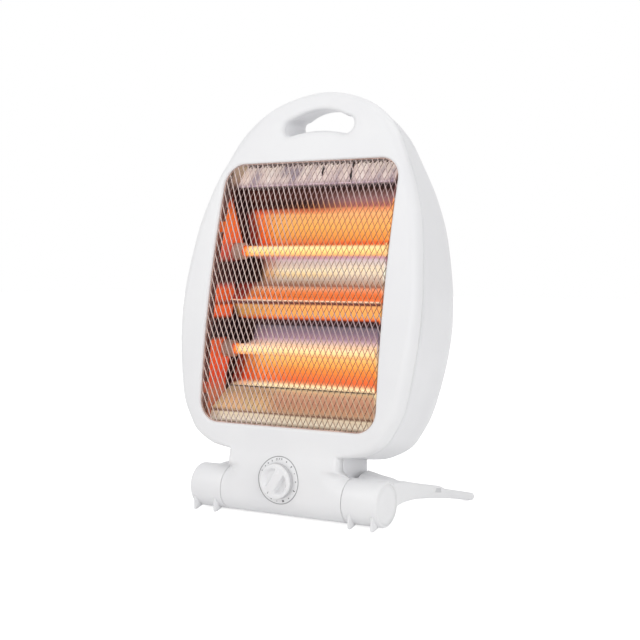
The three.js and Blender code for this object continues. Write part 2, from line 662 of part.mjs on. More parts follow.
// The grip is a bar left between two scoops, turned to point at seven o'clock
const gripTurn = Math.PI / 6;
const gripHalf = 4.4;
const scoopDepth = 3.6;
const scoopReach = 12.4;
const scoopTurn = Math.PI * 0.36; // half the angle of a scoop's round side
let knob = toSolid(rodY(knobRadius, knobFront, knobBack, 0, dialHeight, 32)).subtract(shaftBore);
bothSides((name, side) => {
  const scoop = [];
  for (let i = 0; i <= 6; i += 1) {
    const turn = (i / 3 - 1) * scoopTurn;
    scoop.push([Math.cos(turn) * scoopReach * side, Math.sin(turn) * scoopReach * side]);
  }
  scoop.push([gripHalf * side, Math.sin(scoopTurn) * scoopReach * side],
    [gripHalf * side, -Math.sin(scoopTurn) * scoopReach * side]);
  const cutter = prismY(scoop, knobFront - cutOver, knobFront + scoopDepth);
  knob = knob.subtract(toSolid(cutter.rotateY(gripTurn).translate(0, 0, dialHeight)));
});
add('knob', toGeometry(knob), 'shell');

// Tip-over switch on the neck's floor: bracket, pin, swinging weight and micro switch
const neckFloor = neckBottom + casingWall + fitGap;
const tipPlace = 41;
const tipHalf = 10;
const tipY = 29;
const tipPinHeight = 62;
const tipBase = 1;
const tipFront = 11.2;         // front edge of the bracket's floor
const microDepth = 8;
const pinRadius = 1.2;
const weightRadius = 3.4;
const weightDrop = 12;
const earTop = tipPinHeight + weightRadius;
const bracket = joined(
  box([tipPlace - tipHalf, tipPlace + tipHalf], [tipFront, tipY + weightRadius * 2],
    [neckFloor, neckFloor + tipBase]),
  box([tipPlace - tipHalf, tipPlace - tipHalf + tipBase], [tipY - weightRadius, tipY + weightRadius],
    [neckFloor, earTop]),
  box([tipPlace + tipHalf - tipBase, tipPlace + tipHalf], [tipY - weightRadius, tipY + weightRadius],
    [neckFloor, earTop]))
  .subtract(toSolid(rodX(pinRadius + fitGap, tipPlace - tipHalf - cutOver, tipPlace + tipHalf + cutOver,
    tipY, tipPinHeight, 12)));
add('tip_switch_bracket', toGeometry(bracket), 'steel');
add('tip_switch_pin', rodX(pinRadius, tipPlace - tipHalf - tipBase, tipPlace + tipHalf + tipBase,
  tipY, tipPinHeight, 12), 'steel');
const weightHalf = tipHalf - tipBase - runGap;
const weight = joined(
  rodX(weightRadius, tipPlace - weightHalf, tipPlace + weightHalf, tipY, tipPinHeight, 16),
  box([tipPlace - weightHalf, tipPlace + weightHalf], [tipY - weightRadius / 2, tipY + weightRadius / 2],
    [tipPinHeight - weightDrop, tipPinHeight]),
  box([tipPlace - weightHalf, tipPlace + weightHalf], [tipY - weightRadius, tipY + weightRadius],
    [tipPinHeight - weightDrop - tipBase, tipPinHeight - weightDrop / 2]))
  .subtract(toSolid(rodX(pinRadius + fitGap, tipPlace - tipHalf, tipPlace + tipHalf,
    tipY, tipPinHeight, 12)));
add('tip_switch_weight', toGeometry(weight), 'steel');
const microBase = neckFloor + tipBase + fitGap;
add('micro_switch', box([tipPlace - weightHalf, tipPlace + weightHalf],
  [tipFront + tipBase, tipFront + tipBase + microDepth], [microBase, microBase + weightDrop]), 'dark');

// Mains inlet bush in the neck's back wall, and the terminal block on the neck's floor
const bushBore = 2.6;
const bushFlange = 1.2;
const bushInside = neckBack - casingWall - fitGap;
const bushOutside = neckBack + fitGap;
const bushEdge = inletRadius + bushFlange;
const bushWaist = inletRadius - fitGap;
const bushLathe = [[bushBore, bushInside - bushFlange], [bushEdge, bushInside - bushFlange],
  [bushEdge, bushInside], [bushWaist, bushInside], [bushWaist, bushOutside], [bushEdge, bushOutside],
  [bushEdge, bushOutside + bushFlange], [bushBore, bushOutside + bushFlange],
  [bushBore, bushInside - bushFlange]];
const bush = new THREE.LatheGeometry(bushLathe.map(([r, a]) => new THREE.Vector2(r, a)), 16);
add('cord_inlet', bush.translate(inletPlace, 0, inletHeight), 'dark');
const blockHalf = 10;
const blockBack = 34;
const blockDepth = 12;
const blockHeight = 9;
const blockPlace = 14;
add('terminal_block', box([blockPlace - blockHalf, blockPlace + blockHalf],
  [blockBack - blockDepth, blockBack], [neckFloor, neckFloor + blockHeight]), 'ceramic');
const blockTop = neckFloor + blockHeight + fitGap;
const clampRadius = 2;
const clampHead = 1.2;
bothSides((name, side) => add(`terminal_screw_${name}`, rodZ(clampRadius, blockTop, blockTop + clampHead,
  blockPlace + side * blockHalf / 2, blockBack - blockDepth / 2, 10), 'brass'));

// Wiring held inside: the link between the tubes, and the leads from the tubes and the block to the
// switch. Between its ends a wire's places are shares of the casing's half width, of the rear shell's
// reach and of the casing's height above the neck.
const leadRadius = 1.4;
const leadSides = 6;
const leadStub = 3;            // straight end of a wire at what it joins
const leadPlace = 8;           // the switch's tags beside and above its middle
const leadRise = 4.2;
const linkShares = [[0.8478, 0.3367, 0.5207], [0.8478, 0.2486, 0.3063]];
const upperLeadShares = [[-0.8478, 0.401, 0.5145], [-0.8478, 0.419, 0.3706], [-0.8197, 0.459, 0.2052],
  [-0.6849, 0.44, 0.1011], [-0.3985, 0.2936, 0.0276], [-0.1912, 0.1468, -0.0092], [-0.0717, 0.0642, -0.0337]];
const lowerLeadShares = [[-0.8318, 0.2394, 0.2389], [-0.804, 0.2853, 0.1623], [-0.6534, 0.3303, 0.0827],
  [-0.3825, 0.2018, 0.0123], [-0.1753, 0.0734, -0.0398], [-0.0797, 0.0459, -0.0766]];
const supplyShares = [[0.0638, 0.0734, -0.0429]];
const routed = (shares) => shares.map(([x, y, z]) => [widthAt(x), y * backReach, heightAt(z)]);
const tipX = tubeHalfLength - capSeat + capLength + fitGap * 3 + terminalLength;
const switchBack = switchFront + switchDepth + fitGap * 2;
const tubeEnd = (side, z) => [[tipX * side, tubeY(z), z], [(tipX + leadStub) * side, tubeY(z), z]];
const switchEnd = (side, z) => [
  [leadPlace * side, switchBack + leadStub, z], [leadPlace * side, switchBack, z]];
add('link_wire', wireAlong([...tubeEnd(1, upperTubeHeight), ...routed(linkShares),
  ...tubeEnd(1, lowerTubeHeight).reverse()], leadRadius, leadSides, 16), 'wire');
add('upper_lead', wireAlong([...tubeEnd(-1, upperTubeHeight), ...routed(upperLeadShares),
  ...switchEnd(-1, dialHeight + leadRise)], leadRadius, leadSides, 30), 'wire');
add('lower_lead', wireAlong([...tubeEnd(-1, lowerTubeHeight), ...routed(lowerLeadShares),
  ...switchEnd(-1, dialHeight - leadRise)], leadRadius, leadSides, 26), 'wire');
const supplyStart = [blockPlace - blockHalf / 2, blockBack - blockDepth - fitGap,
  neckFloor + blockHeight / 2];
const supplyNext = [supplyStart[0], supplyStart[1] - leadStub * 2, supplyStart[2]];
add('supply_lead', wireAlong([supplyStart, supplyNext, ...routed(supplyShares),
  ...switchEnd(1, dialHeight + leadRise)], leadRadius, leadSides, 12), 'wire');

// Tilt pivot on each side: a headed axle through the stand's end and the casing's wall, a washer and a nut
const endWall = 3;
const headRadius = 9;
const headThick = 2.4;
const washerThick = 2.4;
const nutThick = 5;
const endStart = middleHalfLength + fitGap / 2;
const wallInner = middleHalfLength - fitGap / 2 - barrelWall;
bothSides((name, side) => {
  const along = (a, b) => span(a * side, b * side);
  const headStart = endStart + endWall + fitGap;
  const tail = wallInner - washerThick - nutThick - fitGap * 4;
  add(`pivot_axle_${name}`, toGeometry(joined(
    rodX(axleRadius, ...along(tail, headStart + fitGap), 0, barrelHeight),
    rodX(headRadius, ...along(headStart, headStart + headThick), 0, barrelHeight))), 'steel');
  const washerEnd = wallInner - fitGap;
  const nutEnd = washerEnd - washerThick - fitGap;
  add(`friction_washer_${name}`, pipeX(headRadius, axleRadius + fitGap,
    ...along(washerEnd - washerThick, washerEnd), 0, barrelHeight), 'dark');
  add(`pivot_nut_${name}`, pipeX(headRadius, (axleRadius + fitGap) / Math.cos(Math.PI / 6),
    ...along(nutEnd - nutThick, nutEnd), 0, barrelHeight, 6), 'steel');
});

// Stand: a barrel end with two thin toes, a cap and a rear leg on each side, and a crossbar
const toeShares = [0.214, 0.857];  // along a barrel end
const toePlaces = toeShares.map((share) => middleHalfLength + share * (barrelHalfLength - middleHalfLength));
const toeThick = 2.2;
const toeFront = 19;
const toeBack = 6;
const toeTop = 12;
const toeFlat = 3;
const capThick = 2.4;
const legInset = 3;            // a leg's root starts this far out on the barrel end
const legRoot = middleHalfLength + legInset;
const legTip = 162;            // behind the tilt axis
// A leg's side view: share of its reach, share of the barrel's radius above the floor
const legShares = [[0.08, 2], [0.148, 1.925], [0.228, 1.75], [0.395, 1.45], [0.586, 1.13], [0.593, 0.99],
  [0.642, 0.9], [0.728, 0.75], [0.926, 0.39], [0.994, 0.23], [1, 0.12], [0.988, 0], [0.926, 0],
  [0.883, 0.13], [0.691, 0.46], [0.525, 0.66], [0.346, 0.83], [0.21, 0.85], [0.111, 0.65]];
// A leg's plan: share of the way from its root to the stand's end face, share of its reach
const legPlanShares = [[0, 0], [1, 0], [1, 1.01], [0.716, 1.01], [0.594, 0.432], [0.406, 0.296], [0, 0.222]];
const crossFront = 26;
const crossBack = 34;
const crossBottom = 12;
const crossTop = 24;
bothSides((name, side) => {
  const along = (a, b) => span(a * side, b * side);
  const tube = toSolid(pipeX(barrelRadius, barrelRadius - barrelWall, ...along(endStart, barrelHalfLength),
    0, barrelHeight));
  let end = tube.add(toSolid(pipeX(barrelRadius - barrelWall / 2, axleRadius + fitGap,
    ...along(endStart, endStart + endWall), 0, barrelHeight)));
  for (const place of toePlaces) {
    const toe = [[-toeFront, toeTop], [-toeFront, 0], [toeFlat - toeFront, 0], [-toeBack, barrelWall],
      [-toeBack, toeTop]];
    const outer = toSolid(prismX(toe, ...along(place - toeThick / 2, place + toeThick / 2)));
    end = end.add(outer.subtract(toSolid(rodX(barrelRadius - barrelWall / 2, -barrelHalfLength,
      barrelHalfLength, 0, barrelHeight))));
  }
  add(`stand_end_${name}`, toGeometry(end), 'shell');
  add(`stand_cap_${name}`, rodX(barrelRadius - barrelWall - fitGap,
    ...along(barrelHalfLength - capThick, barrelHalfLength), 0, barrelHeight), 'shell');
  const profile = legShares.map(([out, up]) => [out * legTip, up * barrelRadius]).reverse();
  const plan = legPlanShares.map(([over, out]) => [
    (legRoot + over * (barrelHalfLength - legRoot)) * side, out * legTip]);
  const leg = toSolid(prismX(profile, ...along(legRoot, barrelHalfLength)))
    .intersect(toSolid(prismZ(side > 0 ? plan : plan.reverse(), -cutOver, barrelHeight * 3)))
    .subtract(toSolid(rodX(barrelRadius + fitGap, -barrelHalfLength - cutOver, barrelHalfLength + cutOver,
      0, barrelHeight)));
  add(`leg_${name}`, toGeometry(leg), 'shell');
});
const crossHalf = legRoot - fitGap;
add('stand_crossbar', box([-crossHalf, crossHalf], [crossFront, crossBack], [crossBottom, crossTop]),
  'shell');

// Screws of the casing, sunk in the rear shell
screwPlaces.forEach(([x, z], i) => {
  const seat = backY(z) - sinkDepth + fitGap;
  add(`casing_screw_${i + 1}`, rodY(screwRadius, seat, seat + screwHead, x, z, 12), 'steel');
});

// The origin goes to the floor under the middle of the whole part
heater.position.y = -(knobFront + legTip) / 2;
export default heater;
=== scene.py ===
import math

import bmesh
import bpy
import numpy as np
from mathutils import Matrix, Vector
from mathutils.geometry import delaunay_2d_cdt


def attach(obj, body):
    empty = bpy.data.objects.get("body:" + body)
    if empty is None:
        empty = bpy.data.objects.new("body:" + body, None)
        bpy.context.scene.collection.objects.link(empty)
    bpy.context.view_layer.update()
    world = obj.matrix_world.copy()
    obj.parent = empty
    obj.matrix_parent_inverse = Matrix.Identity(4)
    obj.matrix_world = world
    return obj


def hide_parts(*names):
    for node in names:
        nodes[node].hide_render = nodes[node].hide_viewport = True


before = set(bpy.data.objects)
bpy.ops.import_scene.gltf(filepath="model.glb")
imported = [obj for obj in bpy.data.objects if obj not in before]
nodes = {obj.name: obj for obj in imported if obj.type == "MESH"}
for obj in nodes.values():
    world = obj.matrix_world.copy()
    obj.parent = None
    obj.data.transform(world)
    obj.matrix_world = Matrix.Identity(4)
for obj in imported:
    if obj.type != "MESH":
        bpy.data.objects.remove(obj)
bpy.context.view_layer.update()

# Sizes are millimetres with Y = 0 on the tilt axis, as in the part's source. metres() gives the frame's place
axisShift = -67.4
casing = {
    "halfWidth": 125.5, "foot": 59.0, "top": 385.5, "wall": 2.2, "edge": 9.0,
    "faceFoot": 12.2, "faceTurn": 26.0, "faceLean": 71.0, "faceLead": 3.0,
    "backReach": 109.0, "backTurn": 220.0, "backLean": 30.4, "backLeanLow": 44.6,
    "parting": 0.12, "crease": 0.49, "creaseInset": 2.5, "backRound": 34.0,
    # Half the outline as (share of the height, share of half the width)
    "outline": [(0, .458), (.0052, .6135), (.015, .685), (.0404, .791), (.081, .862), (.1228, .915),
                (.2, .957), (.32, .995), (.42, 1), (.554, .966), (.642, .928), (.73, .857), (.817, .752),
                (.88, .663), (.94, .506), (.98, .296), (1, 0)],
    "drawLean": 0.175,
}
window = {"half": 93.3, "bottom": 82.0, "top": 320.6, "corner": 20.0, "lip": 2.4}
hole = {"half": 38.0, "bottom": 349.0, "top": 369.0, "drop": 8.0, "sag": 4.0, "rim": 5.0}
neck = {"half": 57.5, "flare": 63.85, "bottom": 42.0, "back": 40.0, "blend": 69.0, "edge": 4.0, "corner": 3.0}
barrel = {"radius": 20.0, "height": 21.2, "middle": 63.85}
tube = {"depth": 27.0, "radius": 5.0, "upper": 239.0, "lower": 147.5, "half": 84.0}


def metres(points):
    places = np.asarray(points, float).reshape(-1, 3) + (0, axisShift, 0)
    return places / 1000


def smooth(low, high, value):
    share = np.clip((np.asarray(value, float) - low) / (high - low), 0, 1)
    return share * share * (3 - 2 * share)


def guardY(z):
    share = (z - casing["faceTurn"]) / (casing["top"] - casing["faceTurn"])
    return -casing["faceFoot"] + casing["faceLean"] * share ** 2


def frontY(z):
    return guardY(z) - casing["faceLead"]


def backY(z):
    share = (z - casing["backTurn"]) / (casing["top"] - casing["backTurn"])
    return casing["backReach"] - np.where(share < 0, casing["backLeanLow"], casing["backLean"]) * share ** 2


def partingY(z):
    return frontY(z) + (backY(z) - frontY(z)) * casing["parting"]


def creaseY(z):
    return frontY(z) + (backY(z) - frontY(z)) * casing["crease"]


jointY = float(partingY(casing["foot"]))
jointGap = 0.35
collection = bpy.context.scene.collection


def addMesh(name, points, faces, shade=True):
    mesh = bpy.data.meshes.new(name)
    mesh.from_pydata(metres(points).tolist(), [], [list(map(int, face)) for face in faces])
    mesh.validate()
    piece = bpy.data.objects.new(name, mesh)
    collection.objects.link(piece)
    mesh.polygons.foreach_set("use_smooth", [shade] * len(mesh.polygons))
    return piece


class Sheet:
    # Points and faces of one piece while it is put together

    def __init__(self):
        self.points = []
        self.faces = []

    def add(self, points, faces):
        base = len(self.points)
        self.points.extend([tuple(map(float, point)) for point in points])
        self.faces.extend([[base + place for place in face] for face in faces])

    def strips(self, rings, closed=True):
        count = len(rings[0])
        faces = []
        for level in range(len(rings) - 1):
            for i in range(count if closed else count - 1):
                j = (i + 1) % count
                faces.append((level * count + i, level * count + j, (level + 1) * count + j,
                              (level + 1) * count + i))
        self.add([point for ring in rings for point in ring], faces)

    def close(self, *rings):
        # One face across each ring
        for ring in rings:
            self.add(ring, [tuple(range(len(ring)))])

    def done(self, name, outward=None, weld=1e-5):
        piece = addMesh(name, self.points, self.faces)
        work = bmesh.new()
        work.from_mesh(piece.data)
        bmesh.ops.remove_doubles(work, verts=work.verts, dist=weld)
        bmesh.ops.dissolve_degenerate(work, edges=work.edges, dist=1e-7)
        bmesh.ops.recalc_face_normals(work, faces=work.faces)
        if outward and sum(face.calc_area() * face.normal.dot(Vector(outward)) for face in work.faces) < 0:
            bmesh.ops.reverse_faces(work, faces=work.faces)
        work.to_mesh(piece.data)
        work.free()
        piece.data.polygons.foreach_set("use_smooth", [True] * len(piece.data.polygons))
        return piece


def applied(piece):
    # The piece with its modifiers worked into a plain mesh
    graph = bpy.context.evaluated_depsgraph_get()
    mesh = bpy.data.meshes.new_from_object(piece.evaluated_get(graph))
    piece.modifiers.clear()
    piece.data = mesh
    return piece


def thickened(piece, thick, offset=-1):
    modifier = piece.modifiers.new("wall", "SOLIDIFY")
    modifier.thickness = thick / 1000
    modifier.offset = offset
    modifier.use_even_offset = False
    modifier.use_rim = True
    return applied(piece)


def centripetal(points, steps, endMirror=False):
    # Places along a centripetal Catmull-Rom curve, as in the part's source
    pts = [np.array(point, float) for point in points]
    after = pts[-2] * (-1, 1) if endMirror else 2 * pts[-1] - pts[-2]
    full = [2 * pts[0] - pts[1]] + pts + [after]
    places = []
    for i in range(1, len(full) - 2):
        p0, p1, p2, p3 = full[i - 1:i + 3]
        d0, d1, d2 = (max(np.linalg.norm(b - a), 1e-6) ** 0.5 for a, b in ((p0, p1), (p1, p2), (p2, p3)))
        t1 = ((p1 - p0) / d0 - (p2 - p0) / (d0 + d1) + (p2 - p1) / d1) * d1
        t2 = ((p2 - p1) / d1 - (p3 - p1) / (d1 + d2) + (p3 - p2) / d2) * d1
        for k in range(steps):
            u = k / steps
            places.append(p1 + t1 * u + (-3 * p1 + 3 * p2 - 2 * t1 - t2) * u ** 2
                          + (2 * p1 - 2 * p2 + t1 + t2) * u ** 3)
    places.append(pts[-1])
    return np.array(places)


def evenly(points, gap):
    # The same line with places about gap apart
    points = np.asarray(points, float)
    lengths = np.r_[0, np.cumsum(np.linalg.norm(np.diff(points, axis=0), axis=1))]
    count = max(int(round(lengths[-1] / gap)), 2)
    wanted = np.linspace(0, lengths[-1], count + 1)
    return np.stack([np.interp(wanted, lengths, points[:, k]) for k in range(points.shape[1])], axis=1)


# The casing's outline from the right end of the neck over the top to the left end
span = casing["top"] - casing["foot"]
halfPoints = [(out * casing["halfWidth"], casing["foot"] + up * span) for up, out in casing["outline"]]
halfCurve = centripetal(halfPoints, 24, True)
halfCurve = evenly(halfCurve, 3.2)
halfCurve[0] = (neck["half"], casing["foot"])
eggCurve = np.vstack([halfCurve, halfCurve[-2::-1] * (-1, 1)])


def normalsOf(line, closed=False):
    # Inward normals of a line that goes counter-clockwise round the casing
    if closed:
        along = np.roll(line, -1, axis=0) - np.roll(line, 1, axis=0)
    else:
        along = np.gradient(line, axis=0)
    along /= np.linalg.norm(along, axis=1)[:, None]
    return np.stack([-along[:, 1], along[:, 0]], axis=1)


# The front's outline has a turn of its own where the neck meets the egg
eggNormals = normalsOf(eggCurve)
cornerTurns = 7
startTurn = math.pi
endTurn = math.atan2(eggNormals[0][1], eggNormals[0][0])
cornerAngles = np.linspace(startTurn, endTurn, cornerTurns)[:-1]
rightCorner = np.stack([np.cos(cornerAngles), np.sin(cornerAngles)], axis=1)
leftCorner = rightCorner[::-1] * (-1, 1)
frontLine = np.vstack([np.repeat(eggCurve[:1], len(rightCorner), axis=0), eggCurve,
                       np.repeat(eggCurve[-1:], len(leftCorner), axis=0)])
frontNormals = np.vstack([rightCorner, eggNormals, leftCorner])


def arched(grow, count=14):
    # The handle hole's outline, grown by a margin, counter-clockwise from the front
    half, bottom, top = hole["half"] + grow, hole["bottom"] - grow, hole["top"] + grow
    end = (top - hole["drop"] - bottom + hole["sag"]) / 2
    middle = bottom - hole["sag"] + end
    places = []
    for share in np.linspace(-1, 1, count + 1):
        places.append((share * (half - end), bottom - hole["sag"] * share ** 2))
    for turn in np.radians(np.linspace(-90, 90, count + 1)[1:-1]):
        places.append((half - end + math.cos(turn) * end, middle + math.sin(turn) * end))
    for share in np.linspace(1, -1, count + 1):
        places.append((share * (half - end), top - hole["drop"] * share ** 2))
    for turn in np.radians(np.linspace(90, 270, count + 1)[1:-1]):
        places.append((end - half + math.cos(turn) * end, middle + math.sin(turn) * end))
    return np.array(places)


def roundedRect(half, bottom, top, corner, steps=8, side=10):
    places = []
    corners = [(half - corner, bottom + corner), (half - corner, top - corner),
               (corner - half, top - corner), (corner - half, bottom + corner)]
    for quarter, (x, z) in enumerate(corners):
        for i in range(steps + 1):
            turn = (quarter - 1 + i / steps) * math.pi / 2
            places.append((x + math.cos(turn) * corner, z + math.sin(turn) * corner))
        following = corners[(quarter + 1) % 4]
        turn = quarter * math.pi / 2
        ahead = (following[0] + math.cos(turn) * corner, following[1] + math.sin(turn) * corner)
        lastX, lastZ = places[-1]
        for i in range(1, side):
            places.append((lastX + (ahead[0] - lastX) * i / side, lastZ + (ahead[1] - lastZ) * i / side))
    return np.array(places)


def inside(points, loop):
    # Which points lie inside a closed loop
    points = np.asarray(points, float)
    hit = np.zeros(len(points), bool)
    for (x0, z0), (x1, z1) in zip(loop, np.roll(loop, -1, axis=0)):
        crosses = (z0 > points[:, 1]) != (z1 > points[:, 1])
        at = x0 + (points[:, 1] - z0) / (z1 - z0 if z1 != z0 else 1e-9) * (x1 - x0)
        hit ^= crosses & (points[:, 0] < at)
    return hit


def nearest(points, line):
    # Distance from each point to a line of places
    points = np.asarray(points, float)
    best = np.full(len(points), 1e9)
    for a, b in zip(line[:-1], line[1:]):
        along = b - a
        length = along @ along
        if length < 1e-12:
            continue
        share = np.clip(((points - a) @ along) / length, 0, 1)
        best = np.minimum(best, np.linalg.norm(points - a - share[:, None] * along, axis=1))
    return best


def filled(outer, holes, extra, gap, depthOf, clear=0.5):
    # Triangles between an outer loop and holes, with a grid of places between them
    loops = [np.asarray(outer)] + [np.asarray(loop) for loop in holes]
    low, high = loops[0].min(0), loops[0].max(0)
    grid = []
    for row, z in enumerate(np.arange(low[1] + gap * 0.3, high[1], gap * 0.866)):
        for x in np.arange(low[0], high[0], gap):
            grid.append((x + (gap / 2 if row % 2 else 0), z))
    grid = np.array(grid + [tuple(point) for point in extra])
    keep = inside(grid, loops[0])
    for loop in loops[1:]:
        keep &= ~inside(grid, loop)
    for loop in loops:
        keep &= nearest(grid, np.vstack([loop, loop[:1]])) > gap * clear
    grid = grid[keep]
    points = np.vstack(loops + [grid])
    edges = []
    base = 0
    for loop in loops:
        edges += [(base + i, base + (i + 1) % len(loop)) for i in range(len(loop))]
        base += len(loop)
    filling = delaunay_2d_cdt([Vector(point) for point in points.tolist()], edges, [], 1, 1e-6)
    spots, faces = np.array([tuple(spot) for spot in filling[0]]), filling[2]
    centres = np.array([spots[list(face)].mean(0) for face in faces])
    keep = inside(centres, loops[0])
    for loop in loops[1:]:
        keep &= ~inside(centres, loop)
    faces = [face for face, good in zip(faces, keep) if good]
    depths = depthOf(spots[:, 0], spots[:, 1])
    return np.stack([spots[:, 0], depths, spots[:, 1]], axis=1), faces


def lift(places, depth):
    # Places in the front view at a depth, one number or one for each
    places = np.asarray(places, float)
    depths = np.broadcast_to(np.asarray(depth, float), (len(places),))
    return np.stack([places[:, 0], depths, places[:, 1]], axis=1)


# Materials, all from Object coordinates, which are the frame's metres
def srgb(r, g, b):
    levels = [c / 255 for c in (r, g, b)]
    return tuple(c / 12.92 if c <= 0.04045 else ((c + 0.055) / 1.055) ** 2.4 for c in levels) + (1.0,)


def material(name):
    made = bpy.data.materials.new(name)
    made.use_nodes = True
    tree = made.node_tree
    shader = tree.nodes["Principled BSDF"]
    coord = tree.nodes.new("ShaderNodeTexCoord")
    return made, tree, shader, coord


def nodeOn(tree, kind, inputs, **settings):
    # A new node, each of whose inputs takes a link or a plain value
    node = tree.nodes.new(kind)
    for setting, value in settings.items():
        setattr(node, setting, value)
    for label, value in inputs.items():
        if isinstance(value, bpy.types.NodeSocket):
            tree.links.new(value, node.inputs[label])
        else:
            node.inputs[label].default_value = value
    return node


def calc(tree, kind, a, b=0.0):
    return nodeOn(tree, "ShaderNodeMath", {0: a, 1: b}, operation=kind).outputs["Value"]


def rangeOn(tree, source, low, high, toLow=0.0, toHigh=1.0, kind="LINEAR"):
    spread = nodeOn(tree, "ShaderNodeMapRange", {
        "Value": source, "From Min": low, "From Max": high, "To Min": toLow, "To Max": toHigh},
        interpolation_type=kind)
    return spread.outputs["Result"]


def mixOn(tree, factor, a, b, blend="MIX"):
    # Inputs 6 and 7 of a Mix node are its two colours, and output 2 is the mixed one
    mix = nodeOn(tree, "ShaderNodeMix", {"Factor": factor, 6: a, 7: b}, data_type="RGBA", blend_type=blend)
    return mix.outputs[2]


def axesOf(tree, coord):
    return nodeOn(tree, "ShaderNodeSeparateXYZ", {"Vector": coord.outputs["Object"]}).outputs


def noiseOn(tree, coord, scale, detail, stretch=None):
    source = coord.outputs["Object"]
    if stretch:
        source = nodeOn(tree, "ShaderNodeMapping", {"Vector": source, "Scale": stretch}).outputs["Vector"]
    noise = nodeOn(tree, "ShaderNodeTexNoise", {"Vector": source, "Scale": scale, "Detail": detail})
    return noise.outputs["Fac"]


def rampOn(tree, source, stops):
    node = nodeOn(tree, "ShaderNodeValToRGB", {"Fac": source})
    marks = node.color_ramp.elements
    marks.remove(marks[-1])
    for step, (place, color) in enumerate(stops):
        mark = marks.new(place) if step else marks[0]
        mark.position = place
        mark.color = color
    return node.outputs["Color"]


def bumpOn(tree, shader, source, strength, distance):
    bump = nodeOn(tree, "ShaderNodeBump", {"Height": source, "Strength": strength, "Distance": distance})
    tree.links.new(bump.outputs["Normal"], shader.inputs["Normal"])


def glowing(tree, shader, color, glow, shine, rough):
    # The same colour as paint and as faint light of its own
    tree.links.new(color, shader.inputs["Base Color"])
    tree.links.new(color, shader.inputs["Emission Color"])
    shader.inputs["Emission Strength"].default_value = glow
    shader.inputs["Metallic"].default_value = shine
    shader.inputs["Roughness"].default_value = rough


# How fine the clouds, the uneven gloss and the grain of a finish are, and how strong its grain is
moulded = {"cloud": 14.0, "wander": 60.0, "grain": 1500.0, "bump": 0.12}
brushedScale = 300.0


def plastic(name, pale, dull, rough, gloss=0.4, grain=0.00006):
    # Moulded plastic: a fine grain, faint cloudiness and a roughness that wanders a little
    made, tree, shader, coord = material(name)
    cloud = noiseOn(tree, coord, moulded["cloud"], 3.0)
    tree.links.new(rampOn(tree, cloud, [(0.3, dull), (0.7, pale)]), shader.inputs["Base Color"])
    wander = noiseOn(tree, coord, moulded["wander"], 2.0)
    tree.links.new(rangeOn(tree, wander, 0.0, 1.0, rough - 0.04, rough + 0.05), shader.inputs["Roughness"])
    shader.inputs["Specular IOR Level"].default_value = gloss
    bumpOn(tree, shader, noiseOn(tree, coord, moulded["grain"], 2.0), moulded["bump"], grain)
    return made


def metal(name, pale, dull, rough, stretch=(1, 1, 1), scale=brushedScale):
    made, tree, shader, coord = material(name)
    brushed = noiseOn(tree, coord, scale, 3.0, stretch)
    tree.links.new(rampOn(tree, brushed, [(0.3, dull), (0.7, pale)]), shader.inputs["Base Color"])
    shader.inputs["Metallic"].default_value = 1.0
    tree.links.new(rangeOn(tree, brushed, 0.0, 1.0, rough - 0.06, rough + 0.1), shader.inputs["Roughness"])
    bumpOn(tree, shader, brushed, 0.15, 0.0002)
    return made


shellPaint = plastic("shell_white", srgb(240, 240, 241), srgb(236, 236, 238), 0.38)
rearPaint = plastic("shell_white_rear", srgb(236, 236, 238), srgb(231, 231, 233), 0.42)
glossPaint = plastic("gloss_white", srgb(241, 241, 242), srgb(237, 237, 239), 0.26, 0.5, 0.00003)
darkPlastic = plastic("dark_plastic", srgb(52, 52, 55), srgb(38, 38, 41), 0.5)
sleeve = plastic("lead_sleeve", srgb(216, 212, 204), srgb(196, 190, 180), 0.65)
steel = metal("plated_steel", srgb(206, 206, 209), srgb(168, 168, 172), 0.32)
brightSheet = metal("bright_sheet", srgb(222, 219, 214), srgb(190, 186, 180), 0.24, (1, 1, 0.1), 160.0)
brass = metal("brass", srgb(222, 188, 112), srgb(176, 140, 72), 0.34)
ceramic = plastic("end_ceramic", srgb(226, 214, 198), srgb(196, 176, 156), 0.7)

# Studio: lamps by place, size and power, a white surrounding, a white floor and the camera of the photograph
studio = {
    "lamps": {"key": ((-0.75, -1.5, 1.35), (1.2, 1.2), 9.0), "fill": ((1.5, -0.9, 0.7), (1.0, 1.2), 7.5),
              "top": ((0.1, 0.2, 1.9), (1.6, 1.6), 3.4)},
    "target": (0, 0, 0.2), "sky": 0.6, "floorGrey": 0.9, "floorGlow": 0.75, "floorHalf": 6,
    "sensor": 36, "lens": 69.86, "nearest": 0.05, "stands": (0.6090, -0.9922, 0.2301), "tilt": 87.26,
    "turn": 32,
}


def seenOn(tree):
    # 1 where the camera or a reflection looks straight at the surface, and 0 for light that bounces
    path = tree.nodes.new("ShaderNodeLightPath")
    return calc(tree, "MAXIMUM", path.outputs["Is Camera Ray"], path.outputs["Is Glossy Ray"])


world = bpy.data.worlds.new("studio")
bpy.context.scene.world = world
world.use_nodes = True
skyTree = world.node_tree
sky = skyTree.nodes["Background"]
sky.inputs["Color"].default_value = (1, 1, 1, 1)
skyTree.links.new(rangeOn(skyTree, seenOn(skyTree), 0.0, 1.0, studio["sky"], 1.0), sky.inputs["Strength"])

for name, (place, size, power) in studio["lamps"].items():
    light = bpy.data.lights.new(name, "AREA")
    light.shape = "RECTANGLE"
    light.size, light.size_y = size
    light.energy = power
    lamp = bpy.data.objects.new(name, light)
    lamp.location = place
    lamp.rotation_euler = (Vector(studio["target"]) - Vector(place)).to_track_quat("-Z", "Y").to_euler()
    collection.objects.link(lamp)

